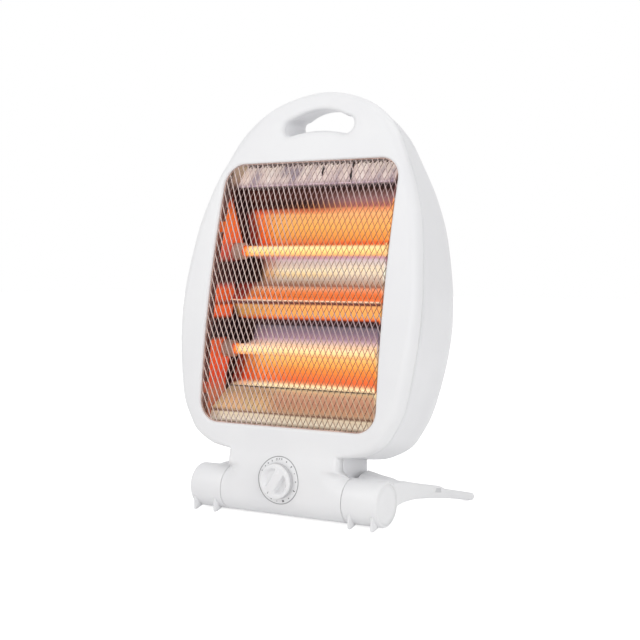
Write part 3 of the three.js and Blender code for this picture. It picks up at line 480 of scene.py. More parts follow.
# The floor is white where it is seen, with the object's soft shadow left on it
floorMesh = bpy.data.meshes.new("floor")
reach = studio["floorHalf"]
floorMesh.from_pydata([(-reach, -reach, 0), (reach, -reach, 0), (reach, reach, 0), (-reach, reach, 0)], [],
                      [(0, 1, 2, 3)])
floor = bpy.data.objects.new("floor", floorMesh)
collection.objects.link(floor)
floorPaint, floorTree, floorShader, _ = material("floor")
floorShader.inputs["Base Color"].default_value = (studio["floorGrey"],) * 3 + (1,)
floorShader.inputs["Roughness"].default_value = 0.9
floorShader.inputs["Specular IOR Level"].default_value = 0.0
floorShader.inputs["Emission Color"].default_value = (1, 1, 1, 1)
floorTree.links.new(calc(floorTree, "MULTIPLY", seenOn(floorTree), studio["floorGlow"]),
                    floorShader.inputs["Emission Strength"])
floorMesh.materials.append(floorPaint)

view = bpy.data.cameras.new("view")
view.sensor_width = studio["sensor"]
view.lens = studio["lens"]
view.clip_start = studio["nearest"]
camera = bpy.data.objects.new("view", view)
camera.location = studio["stands"]
camera.rotation_euler = (math.radians(studio["tilt"]), 0, math.radians(studio["turn"]))
collection.objects.link(camera)
bpy.context.scene.camera = camera
bpy.context.scene.view_settings.view_transform = "Standard"


def ready(piece, body, slot, paint, *replaced):
    # Gives a piece its paint and its body, and hides the CAD nodes that it stands for
    piece.data.materials.clear()
    piece.data.materials.append(paint)
    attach(piece, body)
    if replaced:
        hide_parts(*replaced)
    return piece


# Front shell: rounded edge, flat face with window and handle hole, skirt and front half of the barrel
def faceY(z):
    share = 1 - smooth(38.0, neck["blend"], z)
    return frontY(z) * (1 - share) - barrel["radius"] * share


front = {
    "windowRoom": 1.6, "cornerRun": 14, "edgeSteps": 10, "edgeDeep": 1.25, "grid": 7.0, "seamSteps": 19,
    "lipBack": 0.35, "rimDeep": 0.98, "spreadFrom": 47.0, "barrelTop": 37.0, "underCrown": (38.5, 39.6, 40.4),
    "overCrown": (0.7, 1.5, 2.4, 3.4, 4.5, 5.7, 7.0, 8.4), "riseFrom": 40.5, "riseTo": 49.0,
    "endShares": (0.985, 0.997, 1.0), "endCuts": (1, 0.988, 0.965),
}


def frontShell():
    sheet = Sheet()
    windowLoop = roundedRect(window["half"] + window["lip"], window["bottom"] - window["lip"],
                             window["top"] + window["lip"], window["corner"] + window["lip"])
    room = nearest(frontLine, np.vstack([windowLoop, windowLoop[:1]])) - front["windowRoom"]
    edge = np.minimum(casing["edge"], room)
    fromNeck = smooth(neck["half"] + 0.5, neck["half"] + front["cornerRun"], np.abs(frontLine[:, 0]))
    edge = np.minimum(edge, neck["edge"] + (casing["edge"] - neck["edge"]) * fromNeck)
    for _ in range(3):
        edge = np.minimum(edge, np.convolve(np.pad(edge, 3, mode="edge"), np.ones(7) / 7, mode="valid"))
    turns = np.radians(np.linspace(90, 0, front["edgeSteps"]))
    rings = [lift(frontLine, partingY(frontLine[:, 1]))]
    for turn in turns:
        places = frontLine + frontNormals * (edge * (1 - math.sin(turn)))[:, None]
        z = places[:, 1]
        deep = np.minimum(partingY(z) - faceY(z) - 0.05, edge * front["edgeDeep"])
        rings.append(lift(places, faceY(z) + deep * (1 - math.cos(turn))))
    sheet.strips(rings, closed=False)
    inner = rings[-1][:, [0, 2]]
    reach = inner[0][0]
    seam = np.linspace(-reach, reach, front["seamSteps"])[1:-1]
    outer = np.vstack([inner, [(x, casing["foot"]) for x in seam]])
    holeLoop = arched(hole["rim"])
    face, triangles = filled(outer, [windowLoop, holeLoop], [], front["grid"], lambda x, z: faceY(z))
    sheet.add(face, triangles)
    lipRings = []
    for share in np.linspace(0, 1, 6):
        turn = share * math.pi / 2
        grow = window["lip"] * (1 - math.sin(turn))
        places = roundedRect(window["half"] + grow, window["bottom"] - grow, window["top"] + grow,
                             window["corner"] + grow)
        lipRings.append(lift(places, faceY(places[:, 1]) + window["lip"] * (1 - math.cos(turn))))
    lipRings.append(lipRings[-1] + (0, front["lipBack"], 0))
    sheet.strips(lipRings)
    rimRings = []
    for share in np.linspace(0, 1, 8):
        places = arched(hole["rim"] * (1 - math.sin(share * math.pi / 2)))
        z = places[:, 1]
        deep = (partingY(z) - faceY(z)) * front["rimDeep"]
        rimRings.append(lift(places, faceY(z) + deep * (1 - math.cos(share * math.pi / 2))))
    rimRings.append(lift(arched(0), partingY(arched(0)[:, 1])))
    sheet.strips(rimRings)
    # Skirt and front half of the barrel: one warped grid under the seam
    offsets = edge[0] * (1 - np.sin(turns))
    half = neck["half"]
    shares = np.r_[half, half - offsets, seam[::-1], -(half - offsets)[::-1], -half] / half
    turned = 1 - np.cos(turns)
    rounding = np.r_[0, turned, np.zeros(len(seam)), turned[::-1], 0]
    spread = smooth(front["spreadFrom"], neck["flare"], np.abs(shares) * neck["flare"])
    crown = barrel["height"] + math.sqrt(barrel["radius"] ** 2 - jointY ** 2)
    low = math.degrees(math.acos(-jointY / barrel["radius"]))
    rows = []
    for turn in np.radians(np.linspace(-low, 0, 15)):
        rows.append((barrel["height"] + barrel["radius"] * math.sin(turn), -barrel["radius"] * math.cos(turn),
                     -barrel["radius"] * math.cos(turn), 0))
    overCrown = crown + np.array(front["overCrown"])
    heights = np.r_[np.linspace(barrel["height"], front["barrelTop"], 9)[1:], front["underCrown"], crown,
                    overCrown, np.linspace(overCrown[-1], casing["foot"], 7)[1:]]
    for z in heights:
        side = jointY
        if z < crown:
            side = -math.sqrt(max(barrel["radius"] ** 2 - (z - barrel["height"]) ** 2, 0))
        rows.append((z, float(faceY(z)), min(side, jointY),
                     float(smooth(front["riseFrom"], front["riseTo"], z))))
    places = []
    for z, middle, side, high in rows:
        half = neck["flare"] + (neck["half"] - neck["flare"]) * high
        upper = middle + min(side - middle, edge[0] * front["edgeDeep"]) * rounding
        upper[0] = upper[-1] = side
        y = upper * high + (middle * (1 - spread) + side * spread) * (1 - high)
        x = shares * half
        if z <= crown + 1e-6:
            cut = np.interp(np.abs(shares), front["endShares"], front["endCuts"])
            places.append(np.stack([x, y * cut, barrel["height"] + (z - barrel["height"]) * cut], axis=1))
        else:
            places.append(np.stack([x, y, np.full(len(x), z)], axis=1))
    sheet.strips(places, closed=False)
    piece = sheet.done("front_shell", (0, -1, 0), 2e-5)
    return thickened(piece, casing["wall"])


frontPiece = ready(frontShell(), "casing", "white_plastic", shellPaint, "front_cover")
print("front shell", len(frontPiece.data.polygons))


# Rear shell: side band, crease, rounding and full back with vents, handle tunnel and screw seats
vents = {"half": 42.0, "height": 4.0, "pitch": 11.0, "count": 6, "foot": 232.0, "lip": 0.4}
seats = {"places": [(-52, 140), (52, 140), (-48, 312), (48, 312)], "radius": 3.7, "deep": 1.6}
rear = {"fullness": 2 / 2.6, "bandPower": 1.2, "ringTurn": 44, "innerRings": (14.0, 18.5, 23.5, 29.0, 35.0),
        "rim": 3.0, "grid": 8.0}
chord = np.linspace(-neck["half"], neck["half"], 24)[1:-1]
rearLine = np.vstack([eggCurve, [(x, casing["foot"]) for x in chord]])
rearNormals = normalsOf(rearLine, True)
creaseInset = casing["creaseInset"] * smooth(62, 105, rearLine[:, 1])


def rearDepth(x, z):
    # How far back the rear shell lies inside its crease
    x, z = np.asarray(x, float), np.asarray(z, float)
    deep = backY(z)
    for _ in range(4):
        raised = z + casing["drawLean"] * (deep - partingY(z))
        inset = nearest(np.stack([x, raised], axis=1), np.vstack([rearLine, rearLine[:1]]))
        inset = inset - casing["creaseInset"]
        share = np.clip(1 - inset / casing["backRound"], 0, 1)
        sine = np.sqrt(np.clip(1 - share ** (2 / rear["fullness"]), 0, 1)) ** rear["fullness"]
        deep = creaseY(z) + (backY(z) - creaseY(z)) * sine
    return deep


def leaned(places, depthOf):
    # Places in the front view, dropped as far as their depth asks, at that depth
    places = np.asarray(places, float)
    low = places[:, 1] - casing["drawLean"] * (depthOf(places[:, 1]) - partingY(places[:, 1]))
    return np.stack([places[:, 0], depthOf(low), low], axis=1)


def stadium(x0, x1, z, half, count=6):
    turns = np.linspace(0, math.pi, count + 1)
    places = [(x1 + math.sin(turn) * half, z - math.cos(turn) * half) for turn in turns]
    steps = np.linspace(x1, x0, 9)[1:-1]
    places += [(x, z + half) for x in steps]
    places += [(x0 - math.sin(turn) * half, z + math.cos(turn) * half) for turn in turns]
    places += [(x, z - half) for x in steps[::-1]]
    return np.array(places)


def rearShell():
    sheet = Sheet()
    rings = []
    for share in np.linspace(0, 1, 7):
        places = rearLine + rearNormals * (creaseInset * share ** rear["bandPower"])[:, None]
        rings.append(leaned(places, lambda z, share=share: (
            (partingY(z) + jointGap) * (1 - share) + creaseY(z) * share)))
    for turn in np.radians(np.linspace(0, rear["ringTurn"], 9))[1:]:
        inset = creaseInset + casing["backRound"] * (1 - math.cos(turn) ** rear["fullness"])
        places = rearLine + rearNormals * inset[:, None]
        sine = math.sin(turn) ** rear["fullness"]
        rings.append(leaned(places, lambda z, sine=sine: creaseY(z) + (backY(z) - creaseY(z)) * sine))
    sheet.strips(rings)
    outer = rings[-1][:, [0, 2]]
    extra = []
    for inset in rear["innerRings"]:
        share = np.clip(1 - (inset - casing["creaseInset"]) / casing["backRound"], 0, 1)
        sine = math.sqrt(1 - share ** (2 / rear["fullness"])) ** rear["fullness"]
        line = leaned(rearLine + rearNormals * inset, lambda z: creaseY(z) + (backY(z) - creaseY(z)) * sine)
        extra += [tuple(place) for place in line[::2, [0, 2]]]
    rimLoop = arched(rear["rim"])
    slots = []
    for i in range(vents["count"]):
        z = vents["foot"] + vents["pitch"] * i + vents["height"] / 2
        slots.append(stadium(-vents["half"] + 2, vents["half"] - 2, z, vents["height"] / 2))
    cups = []
    for x, z in seats["places"]:
        turns = np.linspace(0, 2 * math.pi, 21)[:-1]
        cups.append(np.stack([x + np.cos(turns) * seats["radius"],
                              z + np.sin(turns) * seats["radius"]], axis=1))
    panel, triangles = filled(outer, [rimLoop] + slots + cups, extra, rear["grid"], rearDepth, 0.3)
    sheet.add(panel, triangles)
    rim = []
    for share in np.linspace(0, 1, 6):
        turn = share * math.pi / 2
        places = arched(rear["rim"] * (1 - math.sin(turn)))
        rim.append(lift(places, rearDepth(places[:, 0], places[:, 1]) - rear["rim"] * (1 - math.cos(turn))))
    tunnel = arched(0)
    start = partingY(tunnel[:, 1]) + jointGap
    for share in np.linspace(0, 1, 7)[1:]:
        rim.append(lift(tunnel, rim[5][:, 1] + (start - rim[5][:, 1]) * share))
    sheet.strips(rim)
    for loop in slots:
        top = lift(loop, rearDepth(loop[:, 0], loop[:, 1]))
        sheet.strips([top, top - (0, vents["lip"], 0)])
    for loop in cups:
        top = lift(loop, rearDepth(loop[:, 0], loop[:, 1]))
        bottom = top - (0, seats["deep"], 0)
        sheet.strips([top, bottom])
        sheet.close(bottom)
    piece = sheet.done("rear_shell", (0, 1, 0), 2e-5)
    return thickened(piece, casing["wall"])


rearPiece = ready(rearShell(), "casing", "white_plastic_rear", rearPaint, "rear_cover")
print("rear shell", len(rearPiece.data.polygons))


# The neck's foot as (height over its bottom, inset), and how far it drops along the barrel
rearFoot = {"rings": ((0, 1.6), (0.25, 0.8), (0.8, 0.25), (1.6, 0)), "heights": (50.0, 58.0, 68.0, 78.0),
            "sides": (-2.0, 1.0, 4.0, 7.0, 10.0, 13.0, 16.0, 24.0), "drop": 7.0, "dropTop": 58, "dropFrom": 2,
            "dropTo": 14}
barrelRounding = [(0, 19.3), (0.2, 19.75), (0.8, 20)]


def rearNeck():
    # The neck behind the shells' joint, with rounded corners
    sheet = Sheet()
    half, back, corner = neck["half"], neck["back"], neck["corner"]
    start = jointY + jointGap
    path = [(half, y) for y in (start, *rearFoot["sides"])]
    for turn in np.radians(np.linspace(0, 90, 8)):
        path.append((half - corner + math.cos(turn) * corner, back - corner + math.sin(turn) * corner))
    path += [(x, back) for x in np.linspace(half - corner, 0, 8)[1:]]
    path = np.array(path + [(-x, y) for x, y in path[-2::-1]])
    rings = []
    for z, inset in [(neck["bottom"] + up, inset) for up, inset in rearFoot["rings"]] + [
            (z, 0) for z in rearFoot["heights"]]:
        places = path * np.array([(half - inset) / half, (back - inset) / back])
        places[0, 1] = places[-1, 1] = start
        drop = 0
        if z < rearFoot["dropTop"]:
            drop = rearFoot["drop"] * smooth(rearFoot["dropFrom"], rearFoot["dropTo"], places[:, 1])
            drop = drop * (rearFoot["dropTop"] - z) / (rearFoot["dropTop"] - neck["bottom"])
        rings.append(np.stack([places[:, 0], places[:, 1], z - drop + 0 * places[:, 0]], axis=1))
    sheet.strips(rings, closed=False)
    sheet.close(rings[0])
    return thickened(sheet.done("rear_neck", (0, 1, 0)), casing["wall"])


def rearBarrel():
    # The rear half of the barrel's middle
    sheet = Sheet()
    half = barrel["middle"]
    edge = math.degrees(math.acos(-(jointY + jointGap) / barrel["radius"]))
    turns = np.radians(np.linspace(edge, 360 - edge, 37))
    profile = [(-half + out, radius) for out, radius in barrelRounding]
    profile += [(x, barrel["radius"]) for x in (-40, 0, 40)]
    profile += [(half - out, radius) for out, radius in barrelRounding[::-1]]
    rings = []
    for x, radius in profile:
        rings.append([(x, -radius * math.cos(turn), barrel["height"] + radius * math.sin(turn))
                      for turn in turns])
    sheet.strips(rings, closed=False)
    return thickened(sheet.done("rear_barrel", (0, 1, 0)), casing["wall"])


for piece in (rearNeck(), rearBarrel()):
    ready(piece, "casing", "white_plastic_rear", rearPaint)
print("rear neck and barrel")


# Guard: an expanded net from Geometry Nodes, bent to the face's curve, in a thin rim
guard = {"pitchX": 5.6, "pitchZ": 11.6, "strand": 0.8, "thick": 0.45, "tilt": 38.0, "bond": (1.25, 1.3, 2.1),
         "columns": 38, "rows": 45, "lap": 2.4, "ahead": 0.35}


def nodeTree(name, inputs):
    tree = bpy.data.node_groups.new(name, "GeometryNodeTree")
    tree.interface.new_socket("Geometry", in_out="INPUT", socket_type="NodeSocketGeometry")
    for label, kind in inputs:
        tree.interface.new_socket(label, in_out="INPUT", socket_type="NodeSocket" + kind)
    tree.interface.new_socket("Geometry", in_out="OUTPUT", socket_type="NodeSocketGeometry")
    return tree, tree.nodes.new("NodeGroupInput"), tree.nodes.new("NodeGroupOutput")


def formed(name, tree, values):
    # A plain mesh from a tree, whose inputs are set by their identifiers
    base = bpy.data.objects.new(name, bpy.data.meshes.new(name))
    collection.objects.link(base)
    modifier = base.modifiers.new("nodes", "NODES")
    modifier.node_group = tree
    for item in tree.interface.items_tree:
        if item.in_out == "INPUT" and item.name in values:
            modifier[item.identifier] = values[item.name]
    return applied(base)


def netTree(litStrand, shadedStrand):
    # Two crossing strands and their bond at each point of a staggered grid, trimmed and bent
    sizes = ["pitchX", "pitchZ", "strand", "thick", "half", "bottom", "top", "corner", "face", "turn", "lean",
             "reach", "shift"]
    inputs = [("columns", "Int"), ("rows", "Int")] + [(size, "Float") for size in sizes]
    tree, given, result = nodeTree("net", inputs)
    pick = {socket.name: socket for socket in given.outputs}

    def do(kind, a, b=0.0):
        return calc(tree, kind, a, b)

    def vector(x, y, z):
        return nodeOn(tree, "ShaderNodeCombineXYZ", {"X": x, "Y": y, "Z": z}).outputs["Vector"]

    def here():
        place = tree.nodes.new("GeometryNodeInputPosition").outputs["Position"]
        return nodeOn(tree, "ShaderNodeSeparateXYZ", {"Vector": place}).outputs

    def painted(mesh, paint):
        dress = nodeOn(tree, "GeometryNodeSetMaterial", {"Geometry": mesh, "Material": paint})
        return dress.outputs["Geometry"]

    halfRow = do("MULTIPLY", pick["pitchZ"], 0.5)
    middle = do("MULTIPLY", do("ADD", pick["bottom"], pick["top"]), 0.5)
    grid = nodeOn(tree, "GeometryNodeMeshGrid", {
        "Vertices X": pick["columns"], "Vertices Y": pick["rows"],
        "Size X": do("MULTIPLY", do("SUBTRACT", pick["columns"], 1), pick["pitchX"]),
        "Size Y": do("MULTIPLY", do("SUBTRACT", pick["rows"], 1), halfRow)})
    flat = here()
    row = do("ROUND", do("ADD", do("DIVIDE", flat["Y"], halfRow), 0.001))
    aside = do("MULTIPLY", do("ABSOLUTE", do("MODULO", row, 2.0)), do("MULTIPLY", pick["pitchX"], 0.5))
    upright = nodeOn(tree, "GeometryNodeSetPosition", {
        "Geometry": grid.outputs["Mesh"],
        "Position": vector(do("ADD", flat["X"], aside), 0.0, do("ADD", flat["Y"], middle))})
    join = tree.nodes.new("GeometryNodeJoinGeometry")
    # One strand family is painted shaded; the other and the bonds are painted lit
    for lean, paint in ((1, shadedStrand), (-1, litStrand)):
        tip = vector(do("MULTIPLY", pick["pitchX"], 0.5 * lean), 0.0, halfRow)
        line = nodeOn(tree, "GeometryNodeCurvePrimitiveLine", {"End": tip})
        steps = nodeOn(tree, "GeometryNodeResampleCurve", {"Curve": line.outputs["Curve"], "Count": 6})
        turned = nodeOn(tree, "GeometryNodeSetCurveTilt", {
            "Curve": steps.outputs["Curve"], "Tilt": math.radians(guard["tilt"] * lean)})
        section = nodeOn(tree, "GeometryNodeCurvePrimitiveQuadrilateral", {
            "Width": pick["strand"], "Height": pick["thick"]})
        ribbon = nodeOn(tree, "GeometryNodeCurveToMesh", {
            "Curve": turned.outputs["Curve"], "Profile Curve": section.outputs["Curve"]})
        tree.links.new(painted(ribbon.outputs["Mesh"], paint), join.inputs["Geometry"])
    wide, thick, tall = guard["bond"]
    bond = nodeOn(tree, "GeometryNodeMeshCube", {"Size": vector(
        do("MULTIPLY", pick["strand"], wide), do("MULTIPLY", pick["thick"], thick),
        do("MULTIPLY", pick["strand"], tall))})
    tree.links.new(painted(bond.outputs["Mesh"], litStrand), join.inputs["Geometry"])
    scatter = nodeOn(tree, "GeometryNodeInstanceOnPoints", {
        "Points": upright.outputs["Geometry"], "Instance": join.outputs["Geometry"]})
    real = nodeOn(tree, "GeometryNodeRealizeInstances", {"Geometry": scatter.outputs["Instances"]})
    # Trimmed by the rounded outline
    axes = here()
    halfTall = do("MULTIPLY", do("SUBTRACT", pick["top"], pick["bottom"]), 0.5)
    overX = do("ADD", do("SUBTRACT", do("ABSOLUTE", axes["X"]), pick["half"]), pick["corner"])
    fromMiddle = do("ABSOLUTE", do("SUBTRACT", axes["Z"], middle))
    overZ = do("ADD", do("SUBTRACT", fromMiddle, halfTall), pick["corner"])
    squareX, squareZ = (do("POWER", do("MAXIMUM", over, 0.0), 2.0) for over in (overX, overZ))
    outside = do("GREATER_THAN", do("SQRT", do("ADD", squareX, squareZ)), pick["corner"])
    trim = nodeOn(tree, "GeometryNodeDeleteGeometry", {
        "Geometry": real.outputs["Geometry"], "Selection": outside}, domain="FACE")
    # Bent to the face's side-view curve
    share = do("DIVIDE", do("SUBTRACT", axes["Z"], pick["turn"]), pick["reach"])
    bend = do("MULTIPLY", do("POWER", do("MAXIMUM", share, 0.0), 2.0), pick["lean"])
    back = do("ADD", do("SUBTRACT", bend, pick["face"]), pick["shift"])
    bent = nodeOn(tree, "GeometryNodeSetPosition", {
        "Geometry": trim.outputs["Geometry"], "Offset": vector(0.0, back, 0.0)})
    tree.links.new(bent.outputs["Geometry"], result.inputs["Geometry"])
    return tree


# The glow's reflections, painted: bands of colour by height, with other bands towards the ends
lowZ, highZ = 80.0, 324.0
bandFinish = {"ripple": 220.0, "waver": 0.012, "edgeReach": 100.0, "rightSoft": 60.0, "toneLow": 0.67,
              "toneHigh": 0.77}


def seenShare(z):
    return (z - lowZ) / (highZ - lowZ)


def banded(name, main, left=None, leftEdge=None, right=None, rightEdge=None, tint=None, glow=0.66, rough=0.3,
           shine=0.6, axis="X", soft=4.0, streak=(0.02, 1, 1)):
    # A sheet with the glow's reflections and its shade painted on, given out again as a faint painted glow.
    # main, left, right and tint are lists of (height, colour); tint is a painted reddish reflection laid over
    # the main bands beside the left band. The edges are lists of (height, place along the axis) where the
    # left and right bands end
    made, tree, shader, coord = material(name)
    axes = axesOf(tree, coord)
    height = rangeOn(tree, axes["Z"], lowZ / 1000, highZ / 1000)
    ripple = noiseOn(tree, coord, bandFinish["ripple"], 2.0, streak)

    def do(kind, a, b):
        return calc(tree, kind, a, b)

    level = do("ADD", height, do("MULTIPLY", do("SUBTRACT", ripple, 0.5), bandFinish["waver"]))
    if axis == "X":
        across = do("MULTIPLY", axes["X"], 1000.0)
    else:
        # Behind the face's curve
        share = do("DIVIDE", do("SUBTRACT", axes["Z"], casing["faceTurn"] / 1000),
                   (casing["top"] - casing["faceTurn"]) / 1000)
        plane = do("SUBTRACT", do("MULTIPLY", do("POWER", share, 2.0), casing["faceLean"]),
                   casing["faceFoot"] - axisShift)
        across = do("SUBTRACT", do("MULTIPLY", axes["Y"], 1000.0), plane)

    def bands(stops):
        rising = sorted(stops, key=lambda stop: stop[0])
        return rampOn(tree, level, [(seenShare(z), color) for z, color in rising])

    def mask(edge, width):
        # 0 before the edge and 1 after it. The ramp holds the edge's place as a grey
        reach = bandFinish["edgeReach"]
        line = rampOn(tree, height, [
            (seenShare(z), ((x + reach) / (2 * reach),) * 3 + (1,)) for z, x in sorted(edge)])
        place = do("SUBTRACT", do("MULTIPLY", line, 2 * reach), reach)
        return rangeOn(tree, do("DIVIDE", do("SUBTRACT", across, place), width), 0.0, 1.0, kind="SMOOTHSTEP")

    color = bands(main)
    if right:
        color = mixOn(tree, mask(rightEdge, bandFinish["rightSoft"]), color, bands(right))
    if left:
        if tint:
            wide = mask([(z, x + soft * 0.7) for z, x in leftEdge], soft * 2.2)
            color = mixOn(tree, wide, mixOn(tree, 1.0, color, bands(tint), "MULTIPLY"), color)
        color = mixOn(tree, mask(leftEdge, soft), bands(left), color)
    faint = rangeOn(tree, ripple, 0.0, 1.0, bandFinish["toneLow"], bandFinish["toneHigh"])
    tone = nodeOn(tree, "ShaderNodeCombineColor", {"Red": faint, "Green": faint, "Blue": faint})
    glowing(tree, shader, mixOn(tree, 1.0, color, tone.outputs["Color"], "MULTIPLY"), glow, shine, rough)
    bumpOn(tree, shader, ripple, 0.08, 0.0004)
    return made


def strandPaint(name, pale, dull, rough, glow, shine):
    made, tree, shader, coord = material(name)
    # Two colours mottled by noise and given out as glow. On the coil the glow is real; on the crest, the rim
    # and the right caps these colours and their glow are painted light and shade
    mottle = rampOn(tree, noiseOn(tree, coord, 90.0, 3.0), [(0.35, dull), (0.65, pale)])
    glowing(tree, shader, mottle, glow, shine, rough)
    bumpOn(tree, shader, noiseOn(tree, coord, 2500.0, 2.0), 0.2, 0.00005)
    return made


# The two strand families are one steel. The pale family is painted lit and the dark family is painted shaded,
# and both carry painted reflections of the glow in bands by height, with other painted colours towards the
# left end
strandBands = [
    (322, srgb(226, 208, 204)), (302, srgb(214, 190, 190)), (286, srgb(214, 188, 186)),
    (280, srgb(236, 166, 112)), (246, srgb(236, 156, 104)), (243, srgb(240, 196, 140)),
    (236, srgb(240, 196, 140)), (231, srgb(214, 196, 190)), (222, srgb(222, 208, 196)),
    (206, srgb(206, 180, 164)), (203, srgb(236, 150, 104)), (186, srgb(236, 150, 104)),
    (183, srgb(204, 182, 188)), (165, srgb(206, 184, 190)), (157, srgb(226, 194, 164)),
    (140, srgb(236, 166, 108)), (121, srgb(230, 132, 84)), (117, srgb(226, 198, 164)),
    (82, srgb(206, 178, 154)),
]
litStrand = banded("strand_lit", strandBands, left=[(322, srgb(232, 214, 208)), (80, srgb(232, 214, 208))],
                    leftEdge=[(322, -40), (80, -34)], soft=45.0, glow=0.18, rough=0.4, shine=0.4)
crossBands = [
    (322, srgb(126, 98, 90)), (303, srgb(126, 98, 90)), (301, srgb(172, 140, 140)),
    (286, srgb(172, 140, 140)), (281, srgb(130, 90, 68)), (186, srgb(130, 90, 68)),
    (182, srgb(166, 138, 144)), (165, srgb(166, 138, 144)), (158, srgb(132, 98, 78)),
    (82, srgb(128, 98, 82)),
]
shadedStrand = banded("strand_shaded", crossBands, left=[(322, srgb(176, 146, 142)), (80, srgb(166, 138, 132))],
                    leftEdge=[(322, -56), (80, -50)], soft=24.0, glow=0.1, rough=0.45, shine=0.4)
netSizes = {
    "pitchX": guard["pitchX"], "pitchZ": guard["pitchZ"], "strand": guard["strand"], "thick": guard["thick"],
    "half": window["half"] + guard["lap"], "bottom": window["bottom"] - guard["lap"],
    "top": window["top"] + guard["lap"], "corner": window["corner"] + guard["lap"],
    "face": casing["faceFoot"] - guard["ahead"], "turn": casing["faceTurn"], "lean": casing["faceLean"],
    "reach": casing["top"] - casing["faceTurn"], "shift": axisShift,
}
netValues = {size: value / 1000 for size, value in netSizes.items()}
netValues.update(columns=guard["columns"], rows=guard["rows"])
netPiece = formed("guard_net", netTree(litStrand, shadedStrand), netValues)
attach(netPiece, "casing")
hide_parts("guard_mesh")
print("guard net", len(netPiece.data.polygons))


# The rim's section as (past the window's edge, behind the face)
rimSection = [(-0.9, 0.1), (-0.9, 0.75), (-0.6, 0.95), (2.9, 0.95), (2.9, -0.05), (-0.6, -0.05), (-0.9, 0.1)]


def guardRim():
    # The folded rim that holds the net's cut ends
    sheet = Sheet()
    rings = []
    for grow, deep in rimSection:
        places = roundedRect(window["half"] + grow, window["bottom"] - grow, window["top"] + grow,
                             window["corner"] + grow)
        rings.append(lift(places, guardY(places[:, 1]) + deep))
    sheet.strips(rings)
    return sheet.done("guard_rim")


# The rim's pinkish brown is painted shade with a painted reddish reflection of the glow
rimPaint = strandPaint("rim", srgb(196, 170, 160), srgb(160, 132, 122), 0.4, 0.05, 0.6)
ready(guardRim(), "casing", "guard_steel", rimPaint)


# Bright sheets behind the tubes, with their reflections of the glow and their shade painted on as bands of
# colour
trough = {"half": 87.6, "deep": 48.0, "rise": 21.0, "thick": 0.7, "backSlack": 1.0}
# dark: the painted dark reflection of the end plates near the sheets' left ends
dark = srgb(38, 20, 18)
plain = srgb(255, 255, 255)
troughMain = [
    (299, srgb(30, 14, 14)), (290, srgb(66, 34, 28)), (283, srgb(34, 14, 14)), (279, srgb(70, 28, 24)),
    (276, srgb(222, 120, 78)), (273, srgb(244, 178, 112)), (262, srgb(246, 178, 92)),
    (252, srgb(240, 158, 78)), (247, srgb(236, 128, 70)), (245, srgb(206, 88, 56)),
    (243, srgb(240, 190, 120)), (235, srgb(236, 190, 130)), (233, srgb(176, 118, 142)),
    (230, srgb(196, 182, 190)), (224, srgb(216, 212, 204)), (221, srgb(246, 252, 228)),
    (217, srgb(232, 222, 176)), (213, srgb(196, 194, 184)), (209, srgb(168, 144, 124)),
    (206, srgb(144, 98, 84)), (204, srgb(240, 178, 138)), (200, srgb(240, 136, 68)),
    (194.5, srgb(232, 116, 56)),
]
troughLow = [
    (194.5, srgb(255, 226, 196)), (193.2, srgb(250, 214, 180)), (192.2, srgb(96, 52, 56)),
    (189.6, srgb(110, 58, 52)), (188.4, srgb(250, 190, 120)), (180, srgb(248, 176, 88)),
    (176.6, srgb(226, 100, 54)), (174.8, srgb(50, 18, 20)), (170, srgb(36, 20, 26)),
    (168, srgb(104, 98, 112)), (163, srgb(128, 110, 128)), (158, srgb(160, 136, 156)),
    (155.5, srgb(206, 180, 190)), (153, srgb(228, 206, 198)), (150, srgb(250, 222, 180)),
    (144, srgb(250, 216, 158)), (137, srgb(250, 200, 120)), (131, srgb(246, 170, 88)),
    (126, srgb(242, 138, 68)), (119.5, srgb(226, 104, 58)), (117.5, srgb(232, 150, 104)),
    (115.4, srgb(248, 226, 180)), (112, srgb(232, 206, 164)),
]
flankRight = [(299, srgb(26, 12, 14)), (294, srgb(46, 24, 24)), (290, srgb(112, 82, 80)),
              (284, srgb(146, 104, 108)), (279.5, srgb(176, 106, 98)), (276.5, srgb(244, 166, 112)),
              (273, srgb(248, 184, 124)), (262, srgb(248, 180, 100)), (250, srgb(244, 158, 72)),
              (247, srgb(240, 112, 52)), (245, srgb(226, 92, 50)), (243, srgb(246, 196, 130)),
              (235, srgb(246, 196, 140)), (233, srgb(180, 122, 150)), (230, srgb(200, 190, 198)),
              (221, srgb(246, 252, 232)), (213, srgb(200, 196, 188)), (208, srgb(182, 148, 126)),
              (206, srgb(154, 100, 88)), (204, srgb(244, 170, 130)), (200, srgb(242, 128, 66)),
              (194.5, srgb(236, 112, 56))]
upperSheet = banded(
    "reflector_upper", troughMain,
    left=[(300, dark), (277, dark), (272, srgb(160, 60, 44)), (247, srgb(156, 54, 40)), (243, dark),
          (210, dark), (206, srgb(150, 56, 44)), (194, srgb(150, 56, 44))],
    leftEdge=[(300, -92), (277, -84), (247, -80), (245, -84), (233, -84), (231, -72), (211, -66), (207, -74),
              (194, -76)],
    right=flankRight, rightEdge=[(300, -20), (194, -20)],
    tint=[(300, plain), (276, srgb(255, 186, 166)), (247, srgb(255, 180, 160)), (243, plain),
          (232, srgb(226, 190, 170)), (212, srgb(226, 190, 170)), (206, plain), (194, plain)],
    soft=9.0)
lowerSheet = banded(
    "reflector_lower", troughLow,
    left=[(195, dark), (152, dark), (142, srgb(160, 56, 36)), (120, srgb(160, 58, 40)), (112, dark)],
    leftEdge=[(195, -88), (176, -88), (174, -70), (155, -74), (151, -84), (142, -82), (118, -80), (112, -92)],
    tint=[(195, plain), (157, plain), (143, srgb(255, 186, 166)), (119, srgb(255, 182, 162)), (112, plain)],
    soft=8.0)


def sheetRow(z, deep, count):
    # One row of places across a sheet, at a depth behind the guard
    return [(x, guardY(z) + deep, z) for x in np.linspace(-trough["half"], trough["half"], count)]


